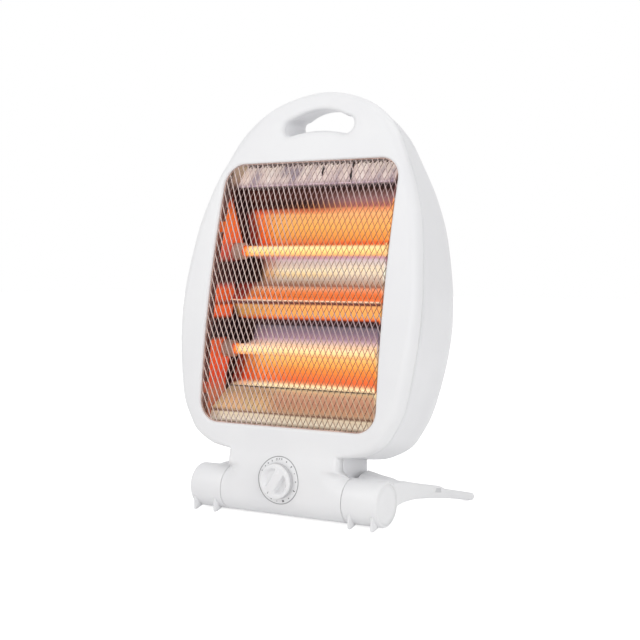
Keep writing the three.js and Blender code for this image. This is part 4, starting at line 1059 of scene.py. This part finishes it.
def troughSheet(name, height, low, high, count, slack=0.0):
    # One parabolic trough of the bright sheet
    sheet = Sheet()
    reach = (tube["upper"] - tube["lower"]) / 2
    sheet.strips([sheetRow(height + share * reach, trough["deep"] - trough["rise"] * share ** 2 + slack, 15)
                  for share in np.linspace(low, high, count)], closed=False)
    return thickened(sheet.done(name, (0, -1, 0)), trough["thick"])


ready(troughSheet("reflector_upper", tube["upper"], -0.992, 1.285, 40), "casing", "bright_sheet", upperSheet)
ready(troughSheet("reflector_lower", tube["lower"], -0.755, 0.992, 36), "casing", "bright_sheet", lowerSheet,
      "reflector")

sheetBack = metal("sheet_back", srgb(150, 148, 146), srgb(112, 110, 110), 0.45)
for name, height, low, high, count in (("reflector_back_upper", tube["upper"], -0.985, 1.28, 24),
                                       ("reflector_back_lower", tube["lower"], -0.75, 0.985, 22)):
    back = troughSheet(name, height, low, high, count, trough["backSlack"])
    ready(back, "casing", "bright_sheet", sheetBack)


# The crest's section as (over its middle, behind the guard)
crestSection = [(0.55, 27.5), (0.5, 26.6), (0.15, 26.1), (-0.2, 26.1), (-0.5, 26.6), (-0.55, 27.5)]


def ridgeCrest():
    # The narrow fold where the two troughs meet, with its highlight painted on as a pale colour and a faint
    # glow
    sheet = Sheet()
    z = (tube["upper"] + tube["lower"]) / 2
    sheet.strips([sheetRow(z + up, deep, 9) for up, deep in crestSection], closed=False)
    return sheet.done("reflector_crest", (0, -1, 0))


# Painted highlight of the crest
crestPaint = strandPaint("crest", srgb(244, 214, 186), srgb(232, 190, 156), 0.25, 0.5, 0.5)
ready(ridgeCrest(), "casing", "bright_sheet", crestPaint)

# Hood: its streaks are (place in metres, width, where they start as a share of the height)
hood = {"foot": 299.3, "rise": 20.9, "front": 13.0, "back": 11.0, "belly": 1.6, "lean": 5.5, "wave": 0.4,
        "thick": 0.6, "streaks": ((0.003, 0.0011, 0.3), (0.034, 0.0014, 0.0)), "streakLean": -0.0055,
        "holes": 230.0, "holeShare": 0.45, "holesFrom": 0.9}


def hoodPaint():
    # Polished hood: pale, with upright folds whose reflections are painted as light and dark colour, dark
    # streaks, a row of holes painted as dark spots, a painted blue shadow along its foot and painted shade
    # along its top, all with a faint painted glow
    made, tree, shader, coord = material("hood")

    def do(kind, a, b=0.0):
        return calc(tree, kind, a, b)

    axes = axesOf(tree, coord)
    folds = noiseOn(tree, coord, 120.0, 2.0, (1.0, 0.3, 0.14))
    color = rampOn(tree, folds, [(0.3, srgb(176, 166, 176)), (0.42, srgb(222, 208, 204)),
                                 (0.55, srgb(246, 232, 222)), (0.7, srgb(252, 244, 236))])
    height = rangeOn(tree, axes["Z"], 0.2985, 0.3205)
    shade = rampOn(tree, height, [(0.0, srgb(120, 104, 116)), (0.09, srgb(176, 164, 178)),
                                  (0.26, srgb(248, 244, 248)), (0.9, srgb(255, 252, 250)),
                                  (1.0, srgb(190, 180, 176))])
    color = mixOn(tree, 1.0, color, shade, "MULTIPLY")
    lean = do("MULTIPLY", do("SUBTRACT", height, 0.5), hood["streakLean"])
    wobble = do("MULTIPLY", noiseOn(tree, coord, 300.0, 1.0, (0.1, 0.1, 1.0)), 0.0016)
    for place, width, low in hood["streaks"]:
        away = do("ABSOLUTE", do("SUBTRACT", axes["X"], do("ADD", lean, place)))
        near = do("LESS_THAN", do("ADD", away, wobble), width + 0.0006)
        tall = do("GREATER_THAN", height, low + 0.12)
        color = mixOn(tree, do("MULTIPLY", near, tall), color, srgb(58, 56, 58))
    pitch = do("FRACT", do("MULTIPLY", axes["X"], hood["holes"]))
    holes = do("MULTIPLY", do("LESS_THAN", pitch, hood["holeShare"]),
               do("GREATER_THAN", height, hood["holesFrom"]))
    glowing(tree, shader, mixOn(tree, holes, color, srgb(84, 66, 62)), 0.55, 0.7, 0.22)
    bumpOn(tree, shader, folds, 0.35, 0.0012)
    return made


def hoodSheet():
    sheet = Sheet()
    rows = []
    for share in np.linspace(0, 1, 14):
        z = hood["foot"] + share * hood["rise"]
        deep = hood["front"] + share * hood["back"] - hood["belly"] * math.sin(share * math.pi)
        row = []
        for x in np.linspace(-trough["half"], trough["half"], 241):
            lean = x + hood["lean"] * share
            wave = hood["wave"] * math.sin(lean * 0.92 + 0.6 * math.sin(lean * 0.11)) * (1 - 0.5 * share)
            row.append((x, guardY(z) + deep + wave, z))
        rows.append(row)
    sheet.strips(rows, closed=False)
    return thickened(sheet.done("hood_sheet", (0, -1, 0)), hood["thick"])


ready(hoodSheet(), "casing", "bright_sheet", hoodPaint(), "top_plate")

# Floor sheet: the strip under the lower trough, warm with painted reflections of the glow, its section as
# (behind the guard, height)
floorSection = [(35.9, 111.6), (33.5, 109.9), (28.0, 106.2), (22.0, 102.1), (16.0, 98.0), (11.0, 94.6),
                (9.6, 93.5), (9.0, 92.4), (8.8, 91.0), (8.6, 88.0), (8.4, 85.0), (8.2, 82.2)]
floorBands = [(112.5, srgb(250, 232, 190)), (110.5, srgb(226, 198, 160)), (107, srgb(206, 170, 146)),
              (101, srgb(190, 150, 130)), (96, srgb(200, 162, 134)), (93.6, srgb(212, 176, 144)),
              (92.8, srgb(104, 66, 50)), (91.6, srgb(120, 84, 64)), (90.6, srgb(226, 206, 178)),
              (84, srgb(240, 226, 204)), (82, srgb(196, 170, 150))]
floorLeft = [(112.5, srgb(206, 176, 146)), (107, srgb(212, 182, 140)), (101, srgb(224, 200, 152)),
             (96, srgb(236, 216, 166)), (93.6, srgb(226, 196, 150)), (92.8, srgb(112, 72, 54)),
             (91.6, srgb(128, 88, 66)), (90.6, srgb(232, 214, 184)), (84, srgb(244, 230, 210)),
             (82, srgb(196, 170, 150))]
floorReflections = banded("floor_sheet", floorBands, left=floorLeft, leftEdge=[(113, -52), (96, -40), (82, -40)],
                   soft=26.0, glow=0.56, shine=0.5)


def floorSheet():
    sheet = Sheet()
    sheet.strips([sheetRow(z, deep, 15) for deep, z in floorSection], closed=False)
    return thickened(sheet.done("floor_sheet", (0, -1, 1)), trough["thick"])


ready(floorSheet(), "casing", "copper_sheet", floorReflections, "bottom_plate")

# End plates keep their solids; the glow's reflections and shade are painted on them, as a front part and a
# deep part
endMain = [(322, srgb(70, 44, 34)), (300, srgb(46, 24, 22)), (279, srgb(40, 20, 20)),
           (250, srgb(36, 18, 18)), (206, srgb(40, 20, 20)), (190, srgb(60, 24, 20)),
           (176, srgb(30, 16, 18)), (120, srgb(34, 18, 18)), (84, srgb(60, 36, 30))]
endLeft = [(322, srgb(196, 176, 150)), (306, srgb(150, 124, 106)), (298, srgb(60, 34, 30)),
           (289, srgb(80, 34, 28)), (284, srgb(216, 92, 56)), (274, srgb(238, 122, 52)),
           (250, srgb(232, 106, 58)), (240, srgb(206, 84, 70)), (232, srgb(176, 76, 66)),
           (229, srgb(46, 22, 22)), (211, srgb(60, 34, 36)), (206, srgb(190, 92, 80)),
           (203, srgb(236, 104, 50)), (194, srgb(226, 92, 44)), (190, srgb(120, 44, 36)),
           (187, srgb(240, 108, 50)), (179, srgb(226, 90, 46)), (176, srgb(36, 18, 20)),
           (159, srgb(30, 16, 18)), (155, srgb(226, 96, 50)), (142, srgb(228, 90, 50)),
           (119, srgb(206, 76, 50)), (108, srgb(190, 112, 86)), (95, srgb(170, 96, 74)),
           (84, srgb(150, 100, 84))]
endEdge = [(322, 30), (300, 12), (286, 9), (266, 22), (247, 35), (232, 38), (228, 20), (208, 30), (190, 32),
           (176, 30), (156, 24), (143, 33), (118, 28), (95, 30)]
endGlow = banded("end_plate", endMain, left=endLeft, leftEdge=endEdge, rough=0.35, shine=0.4, axis="Y",
                 soft=3.0, streak=(1, 0.05, 1))
endBands = [
    (322, srgb(206, 190, 178)), (305, srgb(160, 130, 122)), (299, srgb(40, 20, 20)),
    (286, srgb(146, 96, 92)), (282, srgb(240, 150, 92)), (262, srgb(248, 180, 100)),
    (250, srgb(244, 158, 72)), (245, srgb(226, 92, 50)), (243, srgb(246, 196, 130)),
    (235, srgb(246, 196, 140)), (233, srgb(180, 122, 150)), (221, srgb(246, 252, 232)),
    (208, srgb(182, 148, 126)), (204, srgb(244, 170, 130)), (194.5, srgb(236, 112, 56)),
    (192, srgb(96, 52, 56)), (188.4, srgb(250, 190, 120)), (180, srgb(248, 176, 88)),
    (176.6, srgb(226, 100, 54)), (174.8, srgb(50, 18, 20)), (170, srgb(36, 20, 26)),
    (167, srgb(104, 98, 112)), (158, srgb(160, 136, 156)), (153, srgb(228, 206, 198)),
    (144, srgb(250, 216, 158)), (131, srgb(246, 170, 88)), (119.5, srgb(226, 104, 58)),
    (115, srgb(248, 226, 180)), (101, srgb(190, 150, 130)), (84, srgb(240, 226, 204)),
]
endPaints = {"left": endGlow, "right": banded("end_plate_right", endBands, streak=(1, 0.05, 1))}
for side, paint in endPaints.items():
    for place in nodes[f"reflector_end_{side}"].material_slots:
        place.material = paint
print("sheets")


# Quartz tubes with their coils, and the ceramic caps. Places of the end's tint are metres left of the middle
quartz = {"glow": 0.5, "rough": 0.12, "coat": 0.5, "alpha": (0.7, 0.86), "endFrom": 0.06, "endTo": 0.084,
          "tintFrom": 0.066, "tintTo": 0.073, "bore": 3.9}
coilSizes = {"turns": 58.0, "radius": 0.0029, "length": (tube["half"] * 2 - 9) / 1000, "wire": 0.00055}
capProfile = [(5.35, 84.2), (5.35, 77.4), (5.7, 77.0), (7.4, 77.0), (7.9, 77.5), (8.0, 78.2), (8.0, 80.2),
              (7.5, 80.5), (7.5, 81.1), (8.0, 81.4), (8.0, 89.2), (7.6, 89.8), (7.0, 90.0), (2.4, 90.0),
              (1.9, 89.7), (1.9, 84.2), (5.35, 84.2)]


def turnedX(name, profile, y, z, sides=40, side=1):
    # A profile of (radius, place along X) turned round an axis along X
    sheet = Sheet()
    rings = []
    for radius, x in profile:
        turns = np.linspace(0, 2 * math.pi, sides + 1)[:-1]
        rings.append([(x * side, y + radius * math.cos(turn), z + radius * math.sin(turn)) for turn in turns])
    sheet.strips(rings)
    return sheet.done(name)


def glassPaint(name, height, stops, ends):
    # Clear glass that carries the glow by height, with the colours of its left end by place
    made, tree, shader, coord = material(name)
    axes = axesOf(tree, coord)
    up = rangeOn(tree, axes["Z"], (height - tube["radius"]) / 1000, (height + tube["radius"]) / 1000)
    out = calc(tree, "MULTIPLY", axes["X"], -1.0)
    along = rangeOn(tree, out, quartz["endFrom"], quartz["endTo"])
    share = rangeOn(tree, out, quartz["tintFrom"], quartz["tintTo"], kind="SMOOTHSTEP")
    color = mixOn(tree, share, rampOn(tree, up, stops), rampOn(tree, along, ends))
    glowing(tree, shader, color, quartz["glow"], 0.0, quartz["rough"])
    shader.inputs["Coat Weight"].default_value = quartz["coat"]
    clear = rangeOn(tree, noiseOn(tree, coord, 180.0, 2.0, (0.3, 1, 1)), 0.0, 1.0, *quartz["alpha"])
    tree.links.new(clear, shader.inputs["Alpha"])
    bumpOn(tree, shader, noiseOn(tree, coord, 400.0, 1.0, (0.1, 1, 1)), 0.05, 0.0003)
    return made


def coilTree(paint):
    sizes = ("turns", "radius", "length", "wire", "y", "z")
    tree, given, result = nodeTree("coil", [(size, "Float") for size in sizes])
    pick = {socket.name: socket for socket in given.outputs}
    spiral = nodeOn(tree, "GeometryNodeCurveSpiral", {
        "Resolution": 12, "Rotations": pick["turns"], "Start Radius": pick["radius"],
        "End Radius": pick["radius"], "Height": pick["length"]})
    ring = nodeOn(tree, "GeometryNodeCurvePrimitiveCircle", {"Resolution": 5, "Radius": pick["wire"]})
    swept = nodeOn(tree, "GeometryNodeCurveToMesh", {
        "Curve": spiral.outputs["Curve"], "Profile Curve": ring.outputs["Curve"]})
    place = nodeOn(tree, "ShaderNodeCombineXYZ", {
        "X": calc(tree, "MULTIPLY", pick["length"], -0.5), "Y": pick["y"], "Z": pick["z"]})
    lay = nodeOn(tree, "GeometryNodeTransform", {
        "Geometry": swept.outputs["Mesh"], "Translation": place.outputs["Vector"],
        "Rotation": (0, math.radians(90), 0)})
    real = nodeOn(tree, "GeometryNodeRealizeInstances", {"Geometry": lay.outputs["Geometry"]})
    dress = nodeOn(tree, "GeometryNodeSetMaterial", {"Geometry": real.outputs["Geometry"], "Material": paint})
    tree.links.new(dress.outputs["Geometry"], result.inputs["Geometry"])
    return tree


coilPaint = strandPaint("coil_glow", srgb(255, 206, 112), srgb(250, 166, 76), 0.5, 0.75, 0.3)
coilNodes = coilTree(coilPaint)
tubeEnds = [(0.0, srgb(252, 226, 150)), (0.45, srgb(255, 190, 90)), (0.6, srgb(250, 140, 60)),
            (0.72, srgb(232, 92, 50)), (1.0, srgb(206, 70, 46))]
tubeBands = {
    "upper": [(0.0, srgb(214, 140, 120)), (0.12, srgb(246, 196, 132)), (0.35, srgb(252, 222, 140)),
              (0.6, srgb(253, 232, 156)), (0.85, srgb(252, 226, 176)), (1.0, srgb(236, 180, 120))],
    "lower": [(0.0, srgb(246, 180, 110)), (0.15, srgb(250, 206, 140)), (0.4, srgb(252, 222, 158)),
              (0.7, srgb(252, 228, 178)), (1.0, srgb(246, 214, 190))],
}
# The right caps are painted as lit by the glow, with a faint painted glow of their own
capPaints = {"left": plastic("cap_ceramic", srgb(206, 178, 160), srgb(150, 122, 110), 0.6),
             "right": strandPaint("cap_lit", srgb(250, 214, 150), srgb(238, 190, 124), 0.5, 0.42, 0.0)}
for level in ("upper", "lower"):
    height = tube[level]
    y = float(guardY(height)) + tube["depth"]
    half = tube["half"]
    outer, bore = tube["radius"], quartz["bore"]
    glassProfile = [(bore, -half), (outer, -half), (outer, -half + 8), (outer, 0), (outer, half - 8),
                    (outer, half), (bore, half), (bore, 0), (bore, -half)]
    glass = turnedX(f"{level}_glass", glassProfile, y, height)
    ready(glass, "casing", "quartz", glassPaint(f"{level}_glass", height, tubeBands[level], tubeEnds),
          f"{level}_quartz_tube")
    coil = formed(f"{level}_coil", coilNodes, dict(coilSizes, y=(y + axisShift) / 1000, z=height / 1000))
    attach(coil, "casing")
    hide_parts(f"{level}_heating_coil")
    for side, sign in (("left", -1), ("right", 1)):
        cup = turnedX(f"{level}_holder_{side}", capProfile, y, height, 36, sign)
        ready(cup, "casing", "end_ceramic", capPaints[side], f"{level}_cap_{side}")
print("tubes")

# Dial: a face that follows the skirt, with its printed ring and marks. The face and the ring are given as
# (radius, rise from the skirt), the dots as (turn, radius) and the dashes as (turn, half length, half width
# in degrees)
dial = {
    "height": 35.8, "thick": 0.5, "markRadius": 18.5, "markRise": 0.2,
    "face": [(3.2, 0.16), (10, 0.16), (14, 0.16), (17, 0.16), (20.2, 0.16), (20.5, 0.1), (20.75, -0.12),
             (21.0, -0.16), (21.25, -0.12), (21.5, 0.02)],
    "ring": [(20.5, 0.1), (20.7, 0.02), (21.25, 0.02), (21.42, 0.08)],
    "dots": [(24, 0.62), (89, 0.62), (143, 0.6), (204, 0.5), (267, 0.62), (321, 0.62)],
    "dashes": [(45, 0.9, 1.4), (66, 0.5, 0.9), (115, 1.0, 1.6), (164, 0.9, 3.2), (185, 0.5, 0.9),
               (279, 0.4, 1.0), (294, 0.9, 1.3), (310, 0.7, 1.0), (335, 0.8, 1.0)],
    "line": (225, 250, 18.6, 19.0), "letters": (-9.6, -1.0, 6.6), "letterFoot": 17.7, "letterTall": 1.9,
}


def skirtY(x, z):
    # The skirt's surface near the dial
    x, z = np.asarray(x, float), np.asarray(z, float)
    low = -np.sqrt(np.clip(barrel["radius"] ** 2 - (z - barrel["height"]) ** 2, 0, None))
    return np.where(z < barrel["height"], low, faceY(z))


def skirtRing(radius, rise):
    # One ring round the dial's middle, raised from the skirt
    turns = np.linspace(0, 2 * math.pi, 97)[:-1]
    x, z = np.sin(turns) * radius, dial["height"] + np.cos(turns) * radius
    return np.stack([x, skirtY(x, z) - rise, z], axis=1)


def dialFace():
    sheet = Sheet()
    sheet.strips([skirtRing(radius, rise) for radius, rise in dial["face"]])
    return thickened(sheet.done("dial_face", (0, -1, 0)), dial["thick"])


ready(dialFace(), "casing", "white_plastic", glossPaint, "dial_plate")
printPaint = plastic("dial_print", srgb(126, 126, 128), srgb(96, 96, 98), 0.6)
palePrint = plastic("dial_print_pale", srgb(172, 172, 174), srgb(156, 156, 158), 0.6)


def dialMarks():
    sheet = Sheet()

    def patch(points):
        x = np.array([point[0] for point in points])
        z = dial["height"] + np.array([point[1] for point in points])
        sheet.add(np.stack([x, skirtY(x, z) - dial["markRise"], z], axis=1), [tuple(range(len(points)))])

    def spoke(turn, radius):
        return math.sin(math.radians(turn)) * radius, math.cos(math.radians(turn)) * radius

    def arc(low, high, inner, outer):
        turns = np.linspace(low, high, max(int((high - low) / 3), 2) + 1)
        for a, b in zip(turns[:-1], turns[1:]):
            patch([spoke(a, inner), spoke(a, outer), spoke(b, outer), spoke(b, inner)])

    radius = dial["markRadius"]
    for turn, size in dial["dots"]:
        middle = spoke(turn, radius)
        patch([(middle[0] + math.cos(a) * size, middle[1] + math.sin(a) * size)
               for a in np.linspace(0, 2 * math.pi, 13)[:-1]])
    for turn, size, wide in dial["dashes"]:
        arc(turn - wide, turn + wide, radius - size, radius + size)
    arc(*dial["line"])
    # O, F, F at the rest position, each a few strokes
    foot, top = dial["letterFoot"], dial["letterFoot"] + dial["letterTall"]
    for turn in dial["letters"]:
        arc(turn - 2.2, turn - 1.3, foot, top)
        arc(turn - 2.2, turn + 2.2, foot + 1.5, top)
        if turn == dial["letters"][0]:
            arc(turn + 1.3, turn + 2.2, foot, top)
            arc(turn - 2.2, turn + 2.2, foot, foot + 0.4)
        else:
            arc(turn - 2.2, turn + 1.4, foot + 0.75, foot + 1.1)
    return sheet.done("dial_marks", (0, -1, 0), 1e-8)


ready(dialMarks(), "casing", "dark_plastic", printPaint)


def dialRing():
    sheet = Sheet()
    sheet.strips([skirtRing(radius, rise) for radius, rise in dial["ring"]])
    return sheet.done("dial_ring", (0, -1, 0))


ready(dialRing(), "casing", "dark_plastic", palePrint)

# Knob: a turned cap with a bar left between two scoops. Its back edge and foot are given as (Y, radius)
knob = {
    "front": -27.2, "back": -20.6, "radius": 15.75, "turn": 33, "barHalf": 4.3, "barFlare": 0.5,
    "scoops": (5.0, 3.4), "scoopFrom": 9.6, "scoopTo": 13.4, "dish": 0.45, "corner": 14.2, "cornerWide": 1.35,
    "cornerDeep": 1.25,
    "radii": (*np.linspace(0.8, 14.2, 30), 14.6, 14.95, 15.25, 15.45, 15.55),
    "foot": [(-24.6, 15.66), (-24.2, 15.9), (-21.0, 15.95), (-20.7, 15.7)],
    "pointer": [(-0.35, -13.6), (0.35, -13.6), (0.35, -11.2), (-0.35, -11.2)],
}
knobAround = np.linspace(0, 2 * math.pi, 145)[:-1]


def knobRing(y, radius):
    # One ring round the knob's axis, at one depth or a depth for each place
    x, z = radius * np.sin(knobAround), radius * np.cos(knobAround)
    return np.stack([x, y + 0 * x, dial["height"] + z], axis=1)


def knobCap():
    sheet = Sheet()
    turn = math.radians(knob["turn"])
    rings = []
    for radius in (0.01, *knob["radii"]):
        x, z = radius * np.sin(knobAround), radius * np.cos(knobAround)
        u = x * math.cos(turn) - z * math.sin(turn)  # across the bar
        v = x * math.sin(turn) + z * math.cos(turn)  # along it
        edge = knob["barHalf"] + knob["barFlare"] * (np.abs(v) / 12) ** 2
        beside = smooth(edge - 0.5, edge + np.where(u > 0, 0.7, 1.6), np.abs(u))
        within = 1 - smooth(knob["scoopFrom"], knob["scoopTo"], np.hypot(u * 0.98, v * 1.12))
        deep = np.where(u > 0, *knob["scoops"]) * beside * within
        deep = deep + knob["dish"] * (radius / knob["radius"]) ** 2
        deep = deep + 0.5 * np.exp(-((u / 3.4) ** 2)) * smooth(6, 13.5, -v)
        corner = max(radius - knob["corner"], 0) / knob["cornerWide"]
        deep = deep + knob["cornerDeep"] * (1 - math.sqrt(max(1 - corner * corner, 0)))
        rings.append(knobRing(knob["front"] + deep, radius))
    back = knob["back"]
    for y, radius in ((knob["front"] + 2.4, 15.62), (back - 1.2, knob["radius"]), (back - 0.3, 15.72),
                      (back, 15.4), (back, 4.0)):
        rings.append(knobRing(y, radius))
    sheet.strips(rings)
    return sheet.done("knob_cap", (0, -1, 0))


ready(knobCap(), "knob", "white_gloss", glossPaint, "knob")
# Painted shade for the knob's foot
footPaint = plastic("knob_foot", srgb(206, 206, 208), srgb(192, 192, 194), 0.5)


def knobFoot():
    # The step round the knob's foot, with its shade painted on as a mid grey
    sheet = Sheet()
    sheet.strips([knobRing(y, radius) for y, radius in knob["foot"]])
    return sheet.done("knob_foot", (0, -1, 0))


ready(knobFoot(), "knob", "white_gloss", footPaint)


def knobPointer():
    sheet = Sheet()
    turn = math.radians(knob["turn"])
    points = []
    for u, v in knob["pointer"]:
        x = u * math.cos(turn) + v * math.sin(turn)
        z = -u * math.sin(turn) + v * math.cos(turn)
        points.append((x, knob["front"] + 0.72 - 0.25 * (abs(v) < 12), dial["height"] + z))
    sheet.add(points, [(0, 1, 2, 3)])
    return sheet.done("knob_pointer", (0, -1, 0))


ready(knobPointer(), "knob", "dark_plastic", palePrint)
print("dial and knob")


# Stand: barrel ends with caps and toes, splayed rear legs with their root flare and a painted shade patch,
# and the crossbar.
# Profiles of turned pieces are (radius, X), the toe and leg lines and the mark, the ends of the painted shade
# patch, are (Y, height), and legInner is (Y, X)
stand = {
    "end": 99.0, "legInset": 0.6, "splay": 9.2, "splayFrom": 30, "splayTo": 190, "corner": 2.4,
    "tipFrom": 158,
    "barrel": [(17.65, 96.2), (17.65, 98.96), (18.0, 99.0), (18.7, 98.86), (19.3, 98.45), (19.75, 97.8),
               (20.0, 96.8), (20.0, 90), (20.0, 78), (20.0, 65.1), (19.9, 64.6), (19.6, 64.25), (19.2, 64.15),
               (17.65, 64.15), (17.65, 96.2)],
    "cap": [(0.01, 96.7), (17.3, 96.7), (17.5, 96.9), (17.55, 98.8), (17.45, 98.97), (12, 99.0), (6, 99.0),
            (0.01, 99.0)],
    "toes": (71.5, 94.0), "toeSection": ((-1.1, 0.35), (-0.8, 0), (0.8, 0), (1.1, 0.35)),
    "toe": [(-19, 13), (-19, 1.2), (-18.7, 0.3), (-18, 0), (-16.4, 0), (-15.4, 0.25), (-10, 1.9), (-6, 3.2),
            (-6, 12)],
    "legTop": [(13, 36.8), (20, 37.4), (37, 35.9), (64, 29.8), (91, 24.2), (98.6, 22.5), (107, 18.9),
               (116, 16.8), (149.5, 9.2), (158, 7.2), (160.6, 6.4), (162, 4.6)],
    "legUnder": [(13, 9.5), (18, 15.6), (33, 17.2), (54, 16.8), (85, 13.0), (112, 8.8), (140, 3.2),
                 (152, 0.6), (158, 0.0), (160.6, 0.2), (162, 1.4)],
    "legInner": [(13, 67), (34, 68), (48, 80), (70, 86), (162, 96)],
    "mark": (((86.7, 18.6), (89.1, 21.9)), ((92.0, 17.6), (93.0, 21.3)), ((97.5, 16.7), (96.9, 20.6))),
    "flare": [[(64.6, 7.5, 39.6), (72, 8, 40.0), (80, 9, 39.6), (88, 11, 38.6), (95, 14, 36.0)],
              [(62.4, 20, 42.0), (71, 18, 41.8), (80, 17, 41.0), (89, 19, 39.4), (96, 22, 36.4)],
              [(61.2, 34, 42.8), (70, 29.5, 42.4), (80, 27, 41.0), (90, 28, 39.2), (96.6, 30, 36.0)],
              [(61.0, 36.6, 39.4), (70, 33.0, 38.4), (80, 34, 36.6), (90, 37, 34.8), (96.8, 39, 33.0)],
              [(61.0, 37.6, 30), (70, 35.6, 28), (80, 38, 26), (90, 42, 25), (96.8, 45, 24)],
              [(61.0, 36.6, 20), (70, 35.6, 19), (80, 38, 18.5), (90, 42, 18), (96.8, 45, 18)]],
    "flareThick": 2.2,
}
bar = {"half": 66.7, "y": 30, "z": 18, "halfDeep": 4, "halfTall": 6, "corner": 1.6, "chamfer": 0.5}
sideNames = {-1: "left", 1: "right"}


def standEnd(side):
    return turnedX(f"barrel_end_{sideNames[side]}", stand["barrel"], 0, barrel["height"], 72, side)


def standCap(side):
    return turnedX(f"barrel_cap_{sideNames[side]}", stand["cap"], 0, barrel["height"], 72, side)


def toes(side):
    sheet = Sheet()
    outline = np.array(stand["toe"])
    middle = np.mean(outline, axis=0)
    for place in stand["toes"]:
        rings = []
        for out, inset in stand["toeSection"]:
            points = middle + (outline - middle) * (1 - inset / 8)
            rings.append([(side * (place + out), y, z) for y, z in points])
        sheet.strips(rings)
        sheet.close(rings[0], rings[-1])
    return sheet.done(f"toes_{sideNames[side]}")


def legOuter(y):
    # How far out a leg's outer side stands
    share = float(smooth(stand["splayFrom"], stand["splayTo"], y))
    return stand["end"] - stand["legInset"] + stand["splay"] * share


def leg(side):
    sheet = Sheet()
    rings = []
    tip = stand["tipFrom"]
    ys = np.unique(np.r_[np.arange(13, 97, 6), 98.6, 102.5, 107, np.arange(110, 158, 6), 158, 160.6, 162])
    for y in ys:
        top, under, inner = (np.interp(y, *zip(*stand[line])) for line in ("legTop", "legUnder", "legInner"))
        outer = legOuter(y)
        if y > tip:
            shrink = (y - tip) / 4 * 1.2
            outer, inner = outer - shrink, inner + shrink
        corner = min(stand["corner"], (top - under) / 2.2, (outer - inner) / 2.2)
        points = []
        for turn in np.radians(np.arange(0, 360, 18)):
            cx = outer - corner if math.cos(turn) >= -1e-9 else inner + corner
            cz = top - corner if math.sin(turn) >= -1e-9 else under + corner
            points.append((side * (cx + math.cos(turn) * corner), y, cz + math.sin(turn) * corner))
        rings.append(points)
    sheet.strips(rings)
    sheet.close(rings[0], rings[-1])
    return sheet.done(f"rear_leg_{sideNames[side]}")


# Painted shade for the patch on each leg
legShadePaint = plastic("leg_mark", srgb(218, 218, 220), srgb(204, 204, 206), 0.6)


def legShadePatch(side):
    # A flat patch on the outer side of a leg, painted darker as the shade of a small recess
    sheet = Sheet()
    rows = []
    for low, high in stand["mark"]:
        places = [np.array(low) + (np.array(high) - low) * share for share in (0, 0.5, 1)]
        rows.append([(side * (legOuter(y) + 0.1), y, z) for y, z in places])
    sheet.strips(rows, closed=False)
    return sheet.done(f"leg_mark_{sideNames[side]}", (side, 0, 0))


def legFlare(side):
    # The root of a leg, which rises inboard over the barrel's back
    fine = []
    steps = np.linspace(0, 4, 17)
    for row in np.array(stand["flare"]):
        fine.append(np.stack([np.interp(steps, range(5), row[:, k]) for k in range(3)], axis=1))
    sheet = Sheet()
    sheet.strips([row * (side, 1, 1) for row in fine], closed=False)
    return thickened(sheet.done(f"leg_flare_{sideNames[side]}", (0, 0.4, 1)), stand["flareThick"])


def crossbar():
    sheet = Sheet()
    rings = []
    half, chamfer, corner = bar["half"], bar["chamfer"], bar["corner"]
    for x, inset in [(-half, chamfer), (chamfer - half, 0)] + [(x, 0) for x in np.linspace(-50, 50, 9)] + [
            (half - chamfer, 0), (half, chamfer)]:
        points = []
        for turn in np.radians(np.arange(0, 360, 20)):
            y = bar["y"] + (bar["halfDeep"] - corner - inset) * (1 if math.cos(turn) >= -1e-9 else -1)
            z = bar["z"] + (bar["halfTall"] - corner - inset) * (1 if math.sin(turn) >= -1e-9 else -1)
            points.append((x, y + math.cos(turn) * corner, z + math.sin(turn) * corner))
        rings.append(points)
    sheet.strips(rings)
    sheet.close(rings[0], rings[-1])
    return sheet.done("cross_bar")


for side, name in sideNames.items():
    ready(standEnd(side), "stand", "white_plastic", shellPaint, f"stand_end_{name}")
    ready(toes(side), "stand", "white_plastic", shellPaint)
    ready(standCap(side), "stand", "white_plastic", shellPaint, f"stand_cap_{name}")
    ready(leg(side), "stand", "white_plastic", shellPaint, f"leg_{name}")
    ready(legFlare(side), "stand", "white_plastic", shellPaint)
    ready(legShadePatch(side), "stand", "white_plastic", legShadePaint)
ready(crossbar(), "stand", "white_plastic", shellPaint, "stand_crossbar")
print("stand")


# Solids that keep their own mesh get these paints, by the name of their CAD finish
paints = {
    "white_plastic": shellPaint, "white_plastic_rear": rearPaint, "white_gloss": glossPaint,
    "guard_steel": steel, "bright_sheet": brightSheet, "copper_sheet": brightSheet, "plated_steel": steel,
    "quartz": ceramic, "glowing_coil": brass, "end_ceramic": ceramic, "brass": brass,
    "dark_plastic": darkPlastic, "lead_sleeve": sleeve,
}
for name, node in nodes.items():
    for place in node.material_slots:
        finish = place.material.name.split(".")[0]
        if finish in paints:
            place.material = paints[finish]
